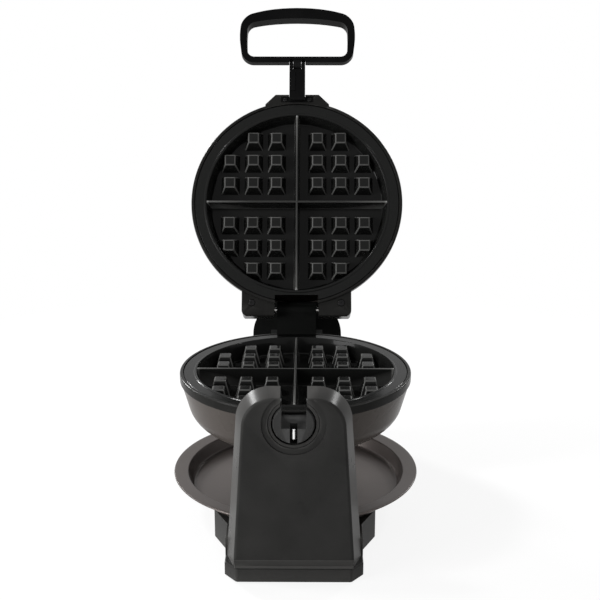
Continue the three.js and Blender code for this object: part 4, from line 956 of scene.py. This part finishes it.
def trayShape():
    t = tray
    wall, radius, top, floor = t["wall"], t["radius"], t["top"], t["floor"]
    return turned([
        (0, floor - wall, 0), (t["floorRadius"] + 0.9, floor - wall, 3.0),
        (t["flange"] + wall, t["flangeTop"] - wall, 1.2), (radius - 0.9, top - wall, 0.7),
        (radius, top - wall + 0.2, 0.4), (radius - 0.5, top, 0.5), (radius - 3, top - 0.1, 1.0),
        (t["flange"], t["flangeTop"], 1.8), (t["floorRadius"] + 1.0, floor, 3.0), (0, floor, 0)], 192, 5)


addPiece("dripTray", trayShape(), standPlace, "tray", "trayCoat", ["drip_tray"])

rubberFoot = {
    "spots": [(-42, -116), (42, -116), (-42, 167.5), (42, 167.5)],
    "profile": [(0, 0, 0), (8.3, 0, 0.5), (8.6, 3.3, 0.4), (3, 3.3, 0), (3, 5.7, 0), (0, 5.7, 0)],
}
for index, (x, y) in enumerate(rubberFoot["spots"], 1):
    addPiece(f"rubberFoot{index}", moved(turned(rubberFoot["profile"], 48), x, y), standPlace, "base", "rubber",
             [f"foot_{index}"])

# Screws

screw = {
    "head": 3.3, "smallHead": 2.25, "headHigh": 1.4, "shank": 1.7, "length": 12.0, "cross": 0.45,
    "crossDeep": 0.8,
}
bowlScrews = {"ring": 48, "height": 55.0}


def screwShape(head):
    # Head below, point above, with a crossed recess
    s = screw
    body = turned([(0, 0, 0), (head, 0, 0.7), (head, s["headHigh"], 0.2), (s["shank"], s["headHigh"], 0),
                   (s["shank"], s["length"], 0), (0, s["length"] + 0.8, 0)], 40, 4)
    reach, half = head * 0.6, s["cross"]
    return shaped(body, ("cut", slab(reach, -half, half, -1, s["crossDeep"])),
                  ("cut", slab(half, -reach, reach, -1, s["crossDeep"])))


def addScrews(name, node, body, place, spots, turn=0, head=screw["head"]):
    finish = "blackSteel" if place is lidPlace else "steel"
    for index, (x, y, z) in enumerate(spots, 1):
        shape = moved(swung(screwShape(head), turn, "X"), x, y, z)
        addPiece(f"{name}{index}", shape, place, body, finish, [f"{node}_{index}"])


def pair(x, y, z):
    return [(-x, y, z), (x, y, z)]


print("Driving the screws")
addScrews("bottomScrew", "bottom_screw", "base", standPlace, pair(57, -44, 1.9) + pair(57, 96, 1.9))
addScrews("frontCoverScrew", "front_cover_screw", "base", standPlace,
          [(x, -115.6, z) for x, z in cover["front"]], 90)
addScrews("rearCoverScrew", "rear_cover_screw", "base", standPlace,
          [(x, 187.9, z) for x, z in cover["rear"]], 90)
addScrews("bracketScrew", "bracket_screw", "head", headPlace,
          pair(bracket["screwX"], 121.2, bracket["screwZ"]), 90)
addScrews("earScrew", "ear_screw", "lid", lidPlace, pair(ear["screwX"], ear["screwY"], 2.4))
addScrews("handleScrew", "handle_screw", "lid", lidPlace, pair(bar["screwX"], bar["screwY"], 1.0),
          head=screw["smallHead"])
ring, angles = bowlScrews["ring"], [math.pi / 2 + index * math.tau / 3 for index in range(3)]
addScrews("bowlScrew", "shell_screw", "head", lowerPlace,
          [(ring * math.cos(angle), ring * math.sin(angle), bowlScrews["height"]) for angle in angles], 180)

# Lamps on the lid

lens = {
    "x": 14, "y": -58,
    "profile": [(0, 47.6, 0), (3.4, 47.6, 0), (3.4, 53.6, 0), (4.5, 53.6, 0.2), (4.5, 54.4, 0.5),
                (2.4, 55.1, 1.2), (0, 55.1, 0)],
}
for name, node, x, finish, slot in (("powerLens", "power_lens", -lens["x"], "amberLens", "amber_lens"),
                                    ("readyLens", "ready_lens", lens["x"], "greenLens", "green_lens")):
    addPiece(name, moved(turned(lens["profile"], 48), x, lens["y"]), lidPlace, "lid", finish, [node])

# The nodes that keep their CAD shape get their finishes
print("Finishing the remaining nodes")
keptFinishes = {
    "base_bottom_plate": "blackPlastic", "lower_heating_element": "sheath", "upper_heating_element": "sheath",
    "lower_heat_reflector": "steel", "upper_heat_reflector": "steel", "thermostat": "ceramic",
    "thermal_fuse": "ceramic", "terminal_block": "ceramic",
}
for node, finish in keptFinishes.items():
    mesh = frame["nodes"][node].data
    mesh.materials.clear()
    mesh.materials.append(finishes[finish])

# Studio

print("Setting the studio")
studio = {
    "cameraAt": (0.0113, -0.987145, 0.495727), "pitch": 0.28575, "yaw": -0.00722, "focal": 1137.71,
    "frame": 600, "sensor": 36.0, "far": 50, "paper": (0.8, 0.8, 0.8), "floorHalf": 6,
    "dimFrom": 0.2, "dimTo": 0.7, "dimmest": 0.86, "daylight": 0.36,
}
cameraData = bpy.data.cameras.new("studio camera")
cameraData.sensor_width = studio["sensor"]
cameraData.lens = studio["focal"] / studio["frame"] * studio["sensor"]
cameraData.clip_end = studio["far"]
camera = placed("studio camera", cameraData)
camera.location = Vector(studio["cameraAt"]) + Vector((0, headAt.y, 0))
camera.rotation_euler = (math.pi / 2 - studio["pitch"], 0, -studio["yaw"])
scene.camera = camera


def seenIn(tree):
    # 1 where the camera looks, also in a reflection or through glass
    path = tree.nodes.new("ShaderNodeLightPath").outputs
    seen = mathIn(tree, "MAXIMUM", path["Is Camera Ray"], path["Is Glossy Ray"])
    return mathIn(tree, "MAXIMUM", seen, path["Is Transmission Ray"])


def whiteGround(name):
    # Pale paper, which glows white where it is seen, and less near the object, whose shadow it keeps
    ground = bpy.data.materials.new(name)
    ground.use_nodes = True
    tree = ground.node_tree
    paper = tree.nodes["Principled BSDF"]
    give(tree, paper.inputs, {"Base Color": studio["paper"], "Roughness": 0.9, "Specular IOR Level": 0.1})
    reach = tree.nodes.new("ShaderNodeVectorMath")
    reach.operation = "LENGTH"
    tree.links.new(tree.nodes.new("ShaderNodeTexCoord").outputs["Object"], reach.inputs[0])
    glowing = rangeIn(tree, reach.outputs["Value"], studio["dimFrom"], studio["dimTo"], studio["dimmest"], 1.0)
    glow = tree.nodes.new("ShaderNodeEmission")
    glow.inputs["Strength"].default_value = 1.0
    blend = tree.nodes.new("ShaderNodeMixShader")
    share = mathIn(tree, "MULTIPLY", seenIn(tree), glowing)
    give(tree, blend.inputs, {0: share, 1: paper.outputs[0], 2: glow.outputs[0]})
    tree.links.new(blend.outputs[0], tree.nodes["Material Output"].inputs["Surface"])
    return ground


floorMesh = bmesh.new()
bmesh.ops.create_grid(floorMesh, x_segments=1, y_segments=1, size=studio["floorHalf"])
floor = objectOf("studioFloor", floorMesh)
floor.data.materials.append(whiteGround("studio paper"))

world = bpy.data.worlds.new("studio world")
scene.world = world
world.use_nodes = True
sky = world.node_tree
give(sky, sky.nodes["Background"].inputs, {
    "Color": (1, 1, 1), "Strength": rangeIn(sky, seenIn(sky), 0.0, 1.0, studio["daylight"], 1.0)})

# Each lamp's place, what it points at, its size and its power
lamps = {
    "left": ((-1.7, -1.0, 0.6), (0, 0, 0.15), 1.0, 36),
    "topLeft": ((-1.2, 0.1, 1.8), (0, 0, 0.1), 0.26, 20),
    "topRight": ((1.2, 0.2, 1.7), (0, 0, 0.1), 0.22, 7),
    "backLeft": ((-1.15, 1.25, 0.95), (0, -0.15, 0.15), 0.24, 31),
    "backRight": ((1.15, 1.25, 0.95), (0, -0.15, 0.15), 0.22, 14),
}
for name, (at, goal, size, power) in lamps.items():
    data = bpy.data.lights.new(name, "AREA")
    data.size = size
    data.energy = power
    lamp = placed(name, data)
    lamp.location = at
    lamp.rotation_euler = (Vector(goal) - Vector(at)).to_track_quat("-Z", "Y").to_euler()

scene.view_settings.view_transform = "Standard"

print("Dressed")
